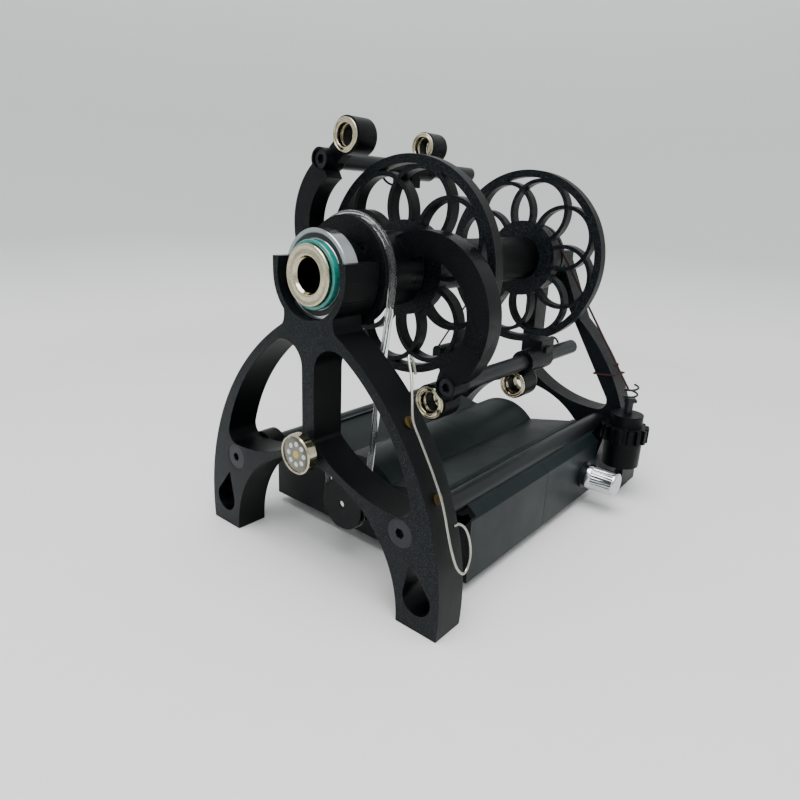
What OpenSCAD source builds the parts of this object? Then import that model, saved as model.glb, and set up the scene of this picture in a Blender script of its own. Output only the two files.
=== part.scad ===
// Electric yarn spinner: two arched frames joined by rails carry a motor base,
// a flyer with sliding ring guides, and a braked bobbin on the flyer shaft.
// The origin is the centre of the orifice's front face. +Y runs back along the
// spin axis, +Z is up, and the feet stand on the plane z = -axis_h.

/* [Frames] */
// Height of the spin axis above the table
axis_h = 136; // [130:1:144]
// Thickness of the front frame along the spin axis
front_t = 16.4; // [14:0.1:18]
// Front face of the front frame, behind the orifice's face
front_y = 0.6; // [0.4:0.1:1.5]
// Front face of the rear frame
rear_y = 192.5; // [190:0.5:200]
// Thickness of the rear frame
rear_t = 14.5; // [12:0.1:18]
// Radius of the outer edge of each leg
leg_r = 120; // [116:0.5:126]
// How far past the centre line each leg's outer arc is centred
leg_over = 45.2; // [43:0.1:47]
// Depth of the leg arcs' centre below the spin axis
leg_drop = 125; // [122:0.5:128]
// Radius of the inner edge of each leg, around the window
window_r = 91.9; // [89:0.1:93]
// Radius of the low arch between the feet
arch_r = 53.5; // [50:0.5:55]
// Width of the centre post
post_w = 7.5; // [6:0.1:9]
// Width of the neck below the front cup
neck_w = 29.6; // [26:0.1:32]
// Length of each rear heel behind the rear frame
heel_len = 11; // [8:0.5:16]

/* [Bearings] */
// Outer radius of the front bearing
fb_r = 18.5; // [18:0.1:19]
// Bore radius of the front bearing
fb_bore = 12.5; // [11.5:0.1:12.9]
// Width of the front bearing
fb_w = 7; // [6:0.1:7.5]
// Front face of the front bearing
fb_y = 4.9; // [4:0.1:5.5]
// Ball radius of the front bearing
fb_ball_r = 1.75; // [1.5:0.01:1.8]
// Outer radius of the rear bearing
rb_r = 11; // [10.5:0.1:11.5]
// Width of the rear bearing
rb_w = 7; // [6:0.1:7.5]
// Ball radius of the rear bearing
rb_ball_r = 1.98; // [1.7:0.01:2.1]
// Height of the cups' flat open tops above the spin axis
cup_top = 6.2; // [5:0.1:7.5]

/* [Flyer] */
// Radius of the yarn hole in the orifice eyelet
orifice_r = 7; // [6:0.1:8]
// Radius of the orifice eyelet's flange
eyelet_r = 12.7; // [12:0.1:13.2]
// Outer radius of the drive whorl
whorl_r = 23.8; // [23:0.1:25]
// Width of the drive whorl
whorl_w = 6; // [5.6:0.1:6.6]
// Front face of the drive whorl
whorl_y = 21.2; // [20.8:0.1:22]
// Radius of the flyer hub
hub_r = 17; // [16:0.1:18]
// Front face of the flyer arms
arm_y = 45; // [44:0.5:47]
// Thickness of the flyer arms
arm_t = 10; // [8:0.5:10.5]
// Mean radius of each curved arm
arm_r = 30.5; // [29.5:0.1:31]
// Width of each curved arm
arm_w = 11; // [9:0.5:12]
// Radius of the two guide rods
rod_r = 4; // [3.5:0.1:4.3]
// Distance of each guide rod from the spin axis
rod_dist = 62; // [61.6:0.1:63]
// Rear end of the guide rods
rod_end = 171; // [165:0.5:171.5]
// Radius of the flyer shaft
shaft_r = 4; // [3.8:0.05:4.2]

/* [Bobbin] */
// Radius of the bobbin flanges
flange_r = 50.5; // [48:0.1:50.8]
// Thickness of the bobbin flanges
flange_t = 6.2; // [5:0.1:6.6]
// Front face of the front flange
bobbin_y = 61; // [60.9:0.1:62]
// Front face of the rear flange
rear_flange_y = 172; // [171.9:0.1:173]
// Radial width of the flange rims
rim_w = 4; // [3:0.1:5]
// Radius of the petal circles, to the middle of their strip
petal_r = 17.4; // [16.5:0.1:18]
// Distance of the petal circles' centres from the spin axis
petal_dist = 28.6; // [28:0.1:29.4]
// Width of the petal strips
petal_w = 2.2; // [1.6:0.1:3]
// Number of petal circles in a flange
petals = 8; // [6:1:9]
// Radius of the flange hub discs
disc_r = 22; // [18:0.5:24]
// Outer radius of the bobbin core
core_r = 12.5; // [11.5:0.1:13.5]
// Radius of the brake whorl
brake_r = 20.4; // [20:0.1:21]
// Width of the brake whorl
brake_w = 11.8; // [10:0.1:11.9]
// Radius at which the brake cord runs
cord_run_r = 19.3; // [18.8:0.1:19.6]

/* [Drive] */
// Radius of the round drive band
band_r = 1.6; // [1.2:0.1:1.7]
// Radius at which the band runs on the drive whorl
band_top_r = 24; // [23.5:0.1:24.4]
// Radius at which the band runs on the motor pulley
band_low_r = 11.7; // [10.5:0.1:12]
// Height of the motor shaft above the table
motor_h = 26; // [25.5:0.1:26.6]
// Radius of the motor can
motor_r = 17.9; // [16:0.1:18]
// Length of the motor can
motor_len = 57; // [50:0.5:60]
// Radius of the motor shaft
motor_shaft_r = 1.6; // [1.5:0.05:2]

/* [Base] */
// Front end of the base
base_y = 36; // [35.4:0.2:38]
// Length of the base
base_len = 135; // [130:0.5:136]
// Distance from the front end of the base to the seam
seam_at = 71.5; // [68:0.5:80]
// Half width of the base at its side panels
base_half = 64.5; // [63.5:0.1:66]
// Gap under the base
base_lift = 5; // [4:0.5:5.5]
// Wall of the base shells
wall = 2.4; // [2:0.1:2.8]
// Radius of the motor hump
hump_r = 26.2; // [25.8:0.1:27]

/* [Rails] */
// Radius of the rails
rail_r = 5; // [4.6:0.1:5.2]
// Distance of each rail from the centre line
rail_x = 53.5; // [53:0.1:54]
// Height of the rails above the table
rail_h = 40.6; // [40:0.1:41]
// Radius of the lug that holds each rail behind the front frame
lug_r = 9; // [8:0.1:9.5]
// Length of the rail lugs
lug_len = 9; // [6:0.5:12]

/* [Speed control] */
// Distance of the speed knob behind the front end of the base
knob_at = 121; // [110:0.5:122]
// Height of the speed knob above the table
knob_h = 18.5; // [18:0.1:20]
// Radius of the speed knob
knob_r = 7.2; // [6:0.1:7.6]
// Length of the speed knob
knob_len = 17; // [14:0.5:18]
// Number of flutes round the speed knob
flutes = 18; // [12:1:20]

/* [Brake] */
// Distance of the tension screw from the centre line
tens_x = 74; // [73.5:0.1:75]
// Distance of the tension screw in front of the rear frame
tens_gap = 6.5; // [6:0.1:7]
// Radius of the tensioner's thumbwheel over its teeth
wheel_r = 13.5; // [12.5:0.1:14]
// Number of teeth on the thumbwheel
wheel_teeth = 16; // [12:1:18]
// Radius of the tensioner housing
housing_r = 10.7; // [10:0.1:11]
// Radius of the brake cord
cord_r = 0.65; // [0.5:0.05:0.7]

/* [Ring guides] */
// Rear face of the upper sliding guide's ring
upper_guide_y = 131.4; // [105:0.1:165]
// Front face of the lower sliding guide's ring
lower_guide_y = 109.5; // [68:0.1:120]
// Length of a guide's sleeve on its rod
sleeve_len = 23; // [20:0.5:26]
// Length of the ring bodies
ring_len = 12; // [11:0.5:13]
// Outer radius of the sliding guides' rings
slide_ring_r = 7.6; // [7.4:0.1:7.8]
// Outer radius of the fixed rings
fixed_ring_r = 8.5; // [8.2:0.1:8.8]

/* [Hidden] */

$fn = 96;
eps = 0.01;
// Gap of a seat between pieces of one body
seat = 0.02;
// Gap of a shaft that turns or slides in its bore
run = 0.06;
// Gap between pieces that move past each other
clear = 0.3;

floor_z = -axis_h;
big = 400;

// Frame outline
leg_c = [-leg_over, -leg_drop];
window_c = leg_c + [15.5, 17.9];
sill_r = 71.5;
sill_c = [50, floor_z + 47.6 + sill_r];
arch_c = [0, floor_z + 1];
corner_r = 6;
crown_r = 11;
post_corner_r = 3;
neck_cut_r = 9;
neck_z = -17.2;
cup_wall = 3;
cup_r = fb_r + cup_wall;
cup_depth = 19;
rear_head_r = 18;
rear_head_top = 5;
shoulder_z = -35;
foot_hole_r = 7;
foot_hole = [63.5, floor_z + 14.5];
foot_hole_tip = [59.5, floor_z + 30.5];

// Bearings
fb_back = fb_y + fb_w;
fb_race = 2.1;
fb_pitch = (fb_r + fb_bore) / 2 + 0.25;
rb_y = rear_y + 3.5;
rb_back = rb_y + rb_w;
rb_race = 2.1;
rb_pitch = (rb_r + shaft_r) / 2 + 0.25;
ball_gap = 0.04;
cage_t = 1.1;
seal_t = 0.6;
front_ball_count = 14;
rear_ball_count = 7;

// Flyer
tube_bore = 9;
hub_y = whorl_y + whorl_w;
tube_end = hub_y + 3;
cavity_end = hub_y + 14.8;
arm_end = arm_y + arm_t;
nose_end = bobbin_y - clear - 0.1;
nose_r = 8;
arm_c = [23.2, -17.2];
rod_angle = atan2(-47.2, 40.2);
rod_x = rod_dist * cos(rod_angle);
rod_z = rod_dist * sin(rod_angle);
boss_r = rod_r + 1.25;
ring_x = 28.5;
ring_z = -57.7;
ring_y = arm_y + 5;
web_w = 9;
web_t = 6;
head_y = arm_y + 4.6;
m5_r = 2.5;
m5_head_r = 4.25;
m3_r = 1.5;
m3_head_r = 2.75;
m6_r = 3;
m6_head_r = 6.3;
m6_head_t = 3.3;
whorl_screw_r = 18.1;
whorl_screw_a = 46;
exit_r = 4.5;
exit_y = hub_y + 7.5;
band_y = whorl_y + whorl_w - 1.7;

// Bobbin
core_bore = 9.5;
bobbin_end = rear_flange_y + flange_t + brake_w;
bush_len = 6;
tens_y = rear_y - tens_gap;
cord_y = tens_y;
shaft_end = rb_back + 0.3;

// Drive
motor_z = floor_z + motor_h;
motor_y = base_y + wall + 0.1;
motor_boss_r = 6.5;
pulley_w = 7.4;
pulley_y = band_y - pulley_w / 2;
pulley_r = band_low_r + 1.1;
band_drop = -motor_z;
band_tilt = asin((band_low_r - band_top_r) / band_drop);
weld_at = 13;

// Base
base_z = floor_z + base_lift;
base_end = base_y + base_len;
seam_y = base_y + seam_at;
seam_gap = 0.25;
tongue = 3.5;
hump_z = floor_z + 20.4;
fold = [19.7, floor_z + 38.1];
rib_x = 47;
rib_w = 2.2;
rib_z = floor_z + 44.8;
lip = [60.5, floor_z + 39.3];
panel_z = floor_z + 35.8;
rail_z = floor_z + rail_h;
rail_y = front_y + front_t;
cover_t = 2.4;
cover_screw_x = base_half - 18.5;
notch_len = 5;
post_r = 3.6;
cover_screw_in = wall + post_r - 0.6;

// Fittings
motor_hole_x = 12.5;
jack_x = -30;
jack_z = floor_z + 22;
jack_r = 5.8;
pot_depth = 10;
badge_z = floor_z + 60.3;
badge_r = 9;
badge_pin_r = 2.5;
badge_pin_len = 8;

// Brake
housing_z = floor_z + 20.3;
housing_h = 15.5;
wheel_z = housing_z + housing_h + clear;
wheel_h = 8.5;
cap_r = 9.3;
cap_h = 7.2;
spigot_r = 5;
spigot_len = 8;
rod_low = housing_z + 5;
rod_top = floor_z + 61.8;
collar_r = 3.05;
ring_wire_r = 0.6;
loop_r = collar_r + ring_wire_r + 0.05;
loop_turns = 2.25;
loop_pitch = 4.2;
anchor_z = floor_z + 68;
anchor = [leg_over - sqrt(leg_r * leg_r - pow(anchor_z + leg_drop, 2)) - 6.1, anchor_z];
anchor_w = 7;
split_len = 42;
hook_point = [72.2, floor_z + 66.5];
knot_at = 0.72;
knot_r = 1.5;

// Ring guides
guide_off = [2.4, 11.5];
sleeve_at = 3;
block_at = 15;
block_len = 14;
clamp_drop = 10.2;
tongue_r = 0.6;
tongue_len = 15;
tongue_sag = 2.4;
grommet_r = 7.3;
grommet_hole_r = 4.9;
grommet_t = 1.2;
barrel_r = 5.6;
barrel_len = 3.4;

// Route of the threading hook, from its bent tip down the leg and round the loop
hook_wire_r = 0.6;
hook_route = [
    [42, 20.5, -36], [40.6, 20.4, -31], [39.6, 19.2, -28.6], [40, 18.2, -29.6],
    [44.4, 15, -36], [48, 11.4, -43.6], [51.1, 8.6, -50.5], [55.4, 8, -57],
    [59.5, 8, -63.8], [63.4, 8, -70.6], [67, 8, -77.7], [69.6, 7.8, -84.5],
    [72, 7.4, -91.5], [74.6, 7, -98], [76.6, 8, -104], [77.6, 11, -107.6],
    [77.6, 14, -106.8], [77, 16.6, -102], [75.6, 17.4, -96.5], [74, 16.2, -91.4],
    [72.8, 13.4, -88.6], [72.2, 10.6, -88.6],
];
magnet_r = 2.5;
magnet_t = 2;
magnet_sunk = 1.2;
magnet_y = 8;
magnet_angles = [37.8, 22.8];

// Route of the keeper loop round the right rear leg
keeper_r = 0.5;
keeper_route = [
    [47.4, 195, -66.2], [47.9, 191.8, -66], [52, 191.2, -65.6], [58, 191.2, -65],
    [60.8, 191.8, -64.8], [61.6, 195, -64.8], [61.4, 200, -65.2], [61, 206, -65.6],
    [60.2, 208.2, -65.8], [54, 208.4, -66], [48, 208.2, -66.4], [47.2, 206, -66.4],
    [47, 200, -66.4],
];

// Colours
black = "#16191b";
charcoal = "#242c2e";
steel = "#c9ccce";
nickel = "#cfc9b4";
dark_steel = "#3a3f41";

// Point on a circle about c at radius r and angle a
function on_circle(c, r, a) = c + r * [cos(a), sin(a)];
// Height of a circle's upper (s = 1) or lower (s = -1) half at x
function arc_z(c, r, x, s) = c[1] + s * sqrt(r * r - pow(x - c[0], 2));
function unit(v) = v / norm(v);
// The two circles' crossing on the right of the line from a to b (s = 1) or the left (s = -1)
function crossing(a, ra, b, rb, s) =
    let (
        d = norm(b - a),
        u = (b - a) / d,
        m = (ra * ra - rb * rb + d * d) / (2 * d),
        h = sqrt(ra * ra - m * m)
    )
    a + m * u + s * h * [u[1], -u[0]];
// The farther crossing of a circle with the line through p along the unit vector u
function line_crossing(p, u, c, r) =
    let (w = p - c, b = w * u)
    p + (-b + sqrt(b * b - w * w + r * r)) * u;

// Rings of points for a round tube along a route; closed routes join end to start
function tangent_at(p, i, closed) =
    let (n = len(p))
    closed
        ? unit(p[(i + 1) % n] - p[(i + n - 1) % n])
        : unit(p[min(i + 1, n - 1)] - p[max(i - 1, 0)]);
function side_from(t, last) = unit(last - (last * t) * t);
function frames(p, closed, i = 0, last = [0, 0.31, 0.95]) =
    i == len(p) ? [] :
    let (
        t = tangent_at(p, i, closed),
        s = side_from(t, last)
    )
    concat([[t, s]], frames(p, closed, i + 1, s));

module tube(route, r, sides, closed = false) {
    f = frames(route, closed);
    n = len(route);
    points = [
        for (i = [0 : n - 1], k = [0 : sides - 1])
            let (a = 360 * k / sides, s = f[i][1], b = cross(f[i][0], s))
            route[i] + r * (cos(a) * s + sin(a) * b)
    ];
    last = closed ? n - 1 : n - 2;
    skin = [
        for (i = [0 : last], k = [0 : sides - 1])
            let (
                a = i * sides + k,
                b = i * sides + (k + 1) % sides,
                j = (i + 1) % n,
                c = j * sides + (k + 1) % sides,
                d = j * sides + k
            )
            each [[a, c, b], [a, d, c]]
    ];
    start = [for (k = [1 : sides - 2]) [0, k, k + 1]];
    m = (n - 1) * sides;
    end = [for (k = [1 : sides - 2]) [m, m + k + 1, m + k]];
    polyhedron(points, closed ? skin : concat(skin, start, end));
}

// A cylinder along +Y from y, and a ring of the same kind
module bar_y(y, len, r) {
    translate([0, y, 0])
        rotate([-90, 0, 0])
            cylinder(h = len, r = r);
}

module ring_y(y, len, outer, inner) {
    difference() {
        bar_y(y, len, outer);
        bar_y(y - 1, len + 2, inner);
    }
}

// A flat outline in x and z, given thickness t from y backwards
module plate_y(y, t) {
    translate([0, y + t, 0])
        rotate([90, 0, 0])
            linear_extrude(t)
                children();
}

// A turned profile, drawn as radius and distance along +Y
module turned_y() {
    rotate([-90, 0, 0])
        rotate_extrude()
            children();
}

module both_sides() {
    children();
    mirror([1, 0, 0]) children();
}

// ---- Frames ----

module legs_outline() {
    difference() {
        intersection() {
            translate(leg_c) circle(leg_r, $fn = 180);
            translate([-leg_c[0], leg_c[1]]) circle(leg_r, $fn = 180);
            translate([-big / 2, floor_z]) square([big, big]);
        }
        translate(arch_c) circle(arch_r, $fn = 180);
        both_sides() foot_hole_outline();
    }
}

module foot_hole_outline() {
    translate(foot_hole) circle(foot_hole_r);
    tip = foot_hole_tip - foot_hole;
    spread = acos(foot_hole_r / norm(tip));
    way = atan2(tip[1], tip[0]);
    polygon([
        foot_hole_tip,
        on_circle(foot_hole, foot_hole_r, way + spread),
        on_circle(foot_hole, foot_hole_r, way - spread),
    ]);
}

// Fills the corner between two tangent directions, leaving a round of radius r about c
module corner_fill(c, a, b, r) {
    difference() {
        polygon([c, c + 3 * r * a, c + 3 * r * (a + b), c + 3 * r * b]);
        translate(c) circle(r);
    }
}

module sill_and_post() {
    intersection() {
        translate(sill_c) circle(sill_r, $fn = 180);
        translate([post_w / 2, floor_z]) square([big, big]);
    }
}

module sill_corner() {
    x = post_w / 2 + post_corner_r;
    c = [x, arc_z(sill_c, sill_r - post_corner_r, x, -1)];
    corner_fill(c, [-1, 0], unit(c - sill_c), post_corner_r);
}

module front_window() {
    outer = crossing(window_c, window_r - corner_r, sill_c, sill_r - corner_r, 1);
    x = post_w / 2 + crown_r;
    crown = [x, arc_z(window_c, window_r - crown_r, x, 1)];
    difference() {
        intersection() {
            translate(window_c) circle(window_r, $fn = 180);
            sill_and_post();
        }
        corner_fill(outer, unit(outer - window_c), unit(outer - sill_c), corner_r);
        corner_fill(crown, [-1, 0], unit(crown - window_c), crown_r);
        sill_corner();
    }
}

module rear_window() {
    edge = [14.4, -10.2];
    way = unit([42.6, -68.8]);
    inward = [way[1], -way[0]];
    outer = line_crossing(edge + corner_r * inward, way, sill_c, sill_r - corner_r);
    difference() {
        intersection() {
            sill_and_post();
            polygon([edge - 40 * way, edge + 140 * way, [-big, -big], [-big, 0]]);
        }
        circle(rear_head_r);
        corner_fill(outer, -inward, unit(outer - sill_c), corner_r);
        sill_corner();
    }
}

module front_cup_outline() {
    intersection() {
        union() {
            circle(cup_r);
            translate([-cup_r, -1]) square([2 * cup_r, cup_top + 1]);
        }
        translate([-big / 2, -big]) square([big, big + cup_top]);
    }
}

module front_outline() {
    difference() {
        union() {
            legs_outline();
            difference() {
                translate([-cup_r, -26]) square([2 * cup_r, 17]);
                both_sides()
                    translate([neck_w / 2 + neck_cut_r, neck_z]) circle(neck_cut_r);
                both_sides()
                    translate([19.7, -26]) square([5, 17]);
            }
        }
        both_sides() front_window();
    }
    front_cup_outline();
}

module rear_outline() {
    shoulder = arc_z([leg_c[1], leg_c[0]], leg_r, shoulder_z, 1);
    difference() {
        union() {
            legs_outline();
            polygon([
                [-rear_head_r, 0], [rear_head_r, 0],
                [shoulder, shoulder_z], [-shoulder, shoulder_z],
            ]);
        }
        both_sides() rear_window();
    }
    intersection() {
        union() {
            circle(rear_head_r);
            translate([-rear_head_r, -1]) square([2 * rear_head_r, rear_head_top + 1]);
        }
        translate([-big / 2, -big]) square([big, big + rear_head_top]);
    }
}

// Hole and countersink for a frame screw, entered from y towards +Y (s = 1) or -Y
module screw_hole(y, s, depth) {
    translate([0, y, 0])
        rotate([-90 * s, 0, 0]) {
            translate([0, 0, -1]) cylinder(h = depth + 2, r = m6_r + 0.1);
            translate([0, 0, -eps])
                cylinder(h = m6_head_t + eps, r1 = m6_head_r + 0.1, r2 = m6_r + 0.1);
        }
}

module at_rails() {
    for (s = [-1, 1])
        translate([s * rail_x, 0, rail_z]) children();
}

module magnets(r, extra) {
    for (a = magnet_angles) {
        p = on_circle(leg_c, leg_r - magnet_sunk, a);
        translate([p[0], magnet_y, p[1]])
            rotate([0, 90 - a, 0])
                cylinder(h = magnet_t + extra, r = r);
    }
}

module front_frame() {
    color(black)
    difference() {
        union() {
            plate_y(front_y, front_t) front_outline();
            plate_y(front_y, cup_depth) front_cup_outline();
            at_rails() bar_y(rail_y - eps, lug_len + eps, lug_r);
        }
        bar_y(-1, fb_back + 1, fb_r + seat);
        bar_y(0, 40, fb_r - 2);
        at_rails() bar_y(rail_y, lug_len + 1, rail_r + seat);
        at_rails() screw_hole(front_y, 1, front_t);
        magnets(magnet_r + 0.05, 2);
        translate([0, 0, badge_z]) bar_y(front_y - 1, badge_pin_len + 1.1, badge_pin_r + seat);
    }
}

module heel() {
    translate([0, 0, floor_z])
        rotate([90, 0, 90])
            linear_extrude(19)
                polygon([
                    [rear_y + 3, 0], [rear_y + rear_t + heel_len, 0],
                    [rear_y + rear_t + heel_len, 5], [rear_y + rear_t + heel_len - 5, 9],
                    [rear_y + 3, 15],
                ]);
}

module rear_frame() {
    color(black)
    difference() {
        union() {
            plate_y(rear_y, rear_t) rear_outline();
            intersection() {
                both_sides() translate([arch_r + 1.5, 0, 0]) heel();
                plate_y(rear_y, rear_t + heel_len) legs_outline();
            }
        }
        bar_y(rear_y - 1, rb_back - rear_y + 1, rb_r + seat);
        bar_y(rear_y, rear_t + 1, rb_r - 2);
        at_rails() screw_hole(rear_y + rear_t, -1, rear_t);
        translate([tens_x, tens_y, wheel_z - clear]) cylinder(h = wheel_h + 2 * clear, r = wheel_r + clear);
        translate([tens_x, tens_y, wheel_z]) cylinder(h = wheel_h + cap_h + 2 * clear, r = cap_r + clear);
        at_anchor_screw() cylinder(h = 10, r = m3_r + seat);
    }
}

// Where the screw of the cord anchor enters, pointing into the left leg
module at_anchor_screw() {
    translate([anchor[0] - anchor_w / 2, rear_y + 3, anchor[1] - 7.5])
        rotate([0, 90, 0])
            children();
}

module rail(s) {
    color(dark_steel)
    translate([s * rail_x, 0, rail_z])
        difference() {
            bar_y(rail_y, rear_y - rail_y, rail_r);
            bar_y(rail_y - 1, 21, m6_r + seat);
            bar_y(rear_y - 20, 21, m6_r + seat);
        }
}

module left_rail() { rail(-1); }
module right_rail() { rail(1); }

// Flat-headed screw with a hex socket, its head face at the origin, pointing along +Y
module flat_screw() {
    rotate([-90, 0, 0])
        difference() {
            union() {
                cylinder(h = m6_head_t - 0.1, r1 = m6_head_r, r2 = m6_r);
                cylinder(h = 32, r = m6_r);
            }
            translate([0, 0, -1]) cylinder(h = 3.2, r = 4 / sqrt(3), $fn = 6);
        }
}

module frame_screws() {
    color(dark_steel)
    at_rails() {
        translate([0, front_y + 0.1, 0]) flat_screw();
        translate([0, rear_y + rear_t - 0.1, 0]) mirror([0, 1, 0]) flat_screw();
    }
}

// ---- Base ----

// Cross-section of the base, drawn in by d, with the rail troughs cut at radius trough
module base_section(d, trough) {
    difference() {
        union() {
            translate([0, hump_z]) circle(hump_r - d);
            both_sides()
                polygon([
                    [0, base_z], [base_half - d, base_z], [base_half - d, panel_z - d],
                    lip - [d, d], [rib_x + rib_w, rib_z - d], [rib_x, rib_z - d],
                    [rib_x, rib_z - 1 - d], fold - [0, d], [0, fold[1] - d],
                ]);
        }
        translate([-big / 2, base_z - big]) square([big, big]);
        for (s = [-1, 1])
            translate([s * rail_x, rail_z]) circle(trough);
    }
}

module base_hollow(d) {
    base_section(d, rail_r + seat + wall);
}

module side_ports() {
    translate([0, base_y + knob_at, floor_z + knob_h])
        rotate([0, 90, 0])
            cylinder(h = big, r = 3.5 + seat);
}

module cover_posts(ys) {
    for (s = [-1, 1], y = ys)
        translate([s * cover_screw_x, y, base_z + cover_t + seat])
            difference() {
                cylinder(h = 12, r = post_r);
                translate([0, 0, -1]) cylinder(h = 10, r = m3_r + seat);
            }
}

// The front corners are cut back round the rails, clear of the rail lugs
module end_notches() {
    at_rails() bar_y(base_y - 1, notch_len + 1, lug_r + 2);
}

module base_front_shell() {
    color(charcoal)
    difference() {
        union() {
            difference() {
                plate_y(base_y, seam_at) base_section(0, rail_r + seat);
                plate_y(base_y + wall, seam_at) base_hollow(wall);
            }
            difference() {
                plate_y(seam_y - 1, tongue + 1) base_section(wall / 2 + 0.1, rail_r + wall / 2);
                plate_y(seam_y - 2, tongue + 3) base_hollow(wall);
                plate_y(seam_y - 2, tongue + 3) rail_saddles();
            }
            cover_posts([base_y + cover_screw_in]);
        }
        translate([0, 0, motor_z]) bar_y(base_y - 1, wall + 2, motor_boss_r + seat);
        for (s = [-1, 1])
            translate([s * motor_hole_x, 0, motor_z]) bar_y(base_y - 1, wall + 2, m3_r + seat);
        end_notches();
    }
}

// The strip along each rail where the shells' joint has no tongue
module rail_saddles() {
    both_sides()
        translate([rail_x - rail_r - wall - 2, base_z + 20]) square([2 * rail_r + 2 * wall + 8, 40]);
}

module base_rear_shell() {
    color(charcoal)
    difference() {
        union() {
            difference() {
                plate_y(seam_y + seam_gap, base_end - seam_y - seam_gap) base_section(0, rail_r + seat);
                plate_y(seam_y - 1, base_end - wall - seam_y + 1) base_hollow(wall);
                difference() {
                    plate_y(seam_y - 1, tongue + 1.2) base_section(wall / 2, rail_r + wall / 2);
                    plate_y(seam_y - 1, tongue + 1.2) rail_saddles();
                }
            }
            cover_posts([base_end - cover_screw_in]);
        }
        side_ports();
        translate([jack_x, 0, jack_z]) bar_y(base_end - wall - 1, wall + 2, jack_r + seat);
    }
}

module base_cover() {
    color(charcoal)
    difference() {
        translate([wall - base_half + seat, base_y + wall + seat, base_z])
            cube([2 * (base_half - wall - seat), base_len - 2 * wall - 2 * seat, cover_t]);
        for (s = [-1, 1], y = [base_y + cover_screw_in, base_end - cover_screw_in])
            translate([s * cover_screw_x, y, base_z - 1]) cylinder(h = cover_t + 2, r = m3_r + 0.1);
    }
}

// Small pan-headed screw, its head's underside at the origin, shank along +Z
module small_screw(len) {
    cylinder(h = len, r = m3_r);
    translate([0, 0, -1.6])
        difference() {
            cylinder(h = 1.6, r = m3_head_r);
            translate([0, 0, -1]) cylinder(h = 2, r = 2 / sqrt(3), $fn = 6);
        }
}

module small_screws() {
    color(dark_steel) {
        for (s = [-1, 1], y = [base_y + cover_screw_in, base_end - cover_screw_in])
            translate([s * cover_screw_x, y, base_z]) small_screw(9);
        for (s = [-1, 1])
            translate([s * motor_hole_x, base_y, motor_z]) rotate([-90, 0, 0]) small_screw(5.5);
        translate([tens_x + 6.4, tens_y, housing_z]) small_screw(7);
        at_anchor_screw() small_screw(9);
    }
}

module motor_can() {
    color(steel)
    translate([0, 0, motor_z])
        difference() {
            union() {
                bar_y(motor_y, motor_len, motor_r);
                bar_y(base_y + 0.2, motor_y - base_y, motor_boss_r);
                bar_y(motor_y + motor_len - eps, 3, 5);
                for (s = [-1, 1])
                    translate([s * 10 - 1, motor_y + motor_len - eps, -2.4]) cube([2, 5, 4.8]);
            }
            bar_y(base_y, motor_len - 2, motor_shaft_r + run);
            for (s = [-1, 1])
                translate([s * motor_hole_x, 0, 0]) bar_y(motor_y - 1, 5, m3_r + seat);
        }
}

module control_board() {
    board = [56, min(46, base_end - wall - seam_y - 15), 1.6];
    at = [-board[0] / 2 - 8, seam_y + 9, base_z + cover_t + 6];
    color("#1d5a3a") {
        translate(at) cube(board);
        for (x = [4, board[0] - 4], y = [4, board[1] - 4])
            translate([at[0] + x, at[1] + y, base_z + cover_t]) cylinder(h = 6.01, r = 2.6);
        translate(at + [8, 5, board[2] - eps]) cylinder(h = 12, r = 5);
        translate(at + [22, 4, board[2] - eps]) cube([16, 10, 11]);
        translate(at + [44, 28, board[2] - eps]) cube([8, 14, 9]);
        translate(at + [18, 22, board[2] - eps]) cube([12, 9, 1.8]);
    }
}

module at_knob() {
    translate([0, base_y + knob_at, floor_z + knob_h])
        rotate([0, 90, 0])
            children();
}

module speed_pot() {
    color(dark_steel)
    at_knob()
        difference() {
            union() {
                translate([0, 0, base_half - wall - pot_depth - seat]) cylinder(h = pot_depth, r = 8);
                translate([0, 0, base_half - wall - seat - eps]) cylinder(h = wall + 4, r = 3.5);
            }
            translate([0, 0, base_half - wall - pot_depth + 3]) cylinder(h = 30, r = 3 + run);
        }
}

module pot_nut() {
    color(black)
    at_knob()
        translate([0, 0, base_half + seat])
            difference() {
                union() {
                    cylinder(h = 0.8, r = 7.8);
                    translate([0, 0, 0.7]) cylinder(h = 1.7, r = 6);
                }
                translate([0, 0, -1]) cylinder(h = 5, r = 3.5 + seat);
            }
}

module pot_shaft() {
    color(steel)
    at_knob()
        translate([0, 0, base_half - wall - pot_depth + 3.4]) cylinder(h = 22, r = 3);
}

module speed_knob() {
    from = base_half + 2.8;
    color(steel)
    at_knob()
        translate([0, 0, from])
            difference() {
                union() {
                    cylinder(h = 3, r = knob_r);
                    translate([0, 0, 2]) cylinder(h = knob_len - 3, r = knob_r - 0.4);
                    translate([0, 0, knob_len - 1.01]) cylinder(h = 1, r1 = knob_r - 0.4, r2 = knob_r - 1.4);
                }
                translate([0, 0, -1]) cylinder(h = 14, r = 3 + seat);
                translate([0, 0, -1]) cylinder(h = 2.6, r = 4.6);
                for (k = [0 : flutes - 1])
                    rotate([0, 0, 360 * k / flutes])
                        translate([knob_r + 0.1, 0, 3.6]) cylinder(h = knob_len - 5.6, r = 0.9, $fn = 24);
            }
}

module power_jack() {
    color(black)
    translate([jack_x, 0, jack_z])
        difference() {
            union() {
                bar_y(base_end - wall - 9, wall + 9.5, jack_r);
                bar_y(base_end + seat, 1.4, jack_r + 1.4);
                bar_y(base_end - wall - 3, 3 - seat, jack_r + 2);
            }
            bar_y(base_end - 7, 20, 2.9);
        }
}

// ---- Small fittings on the front frame ----

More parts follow.
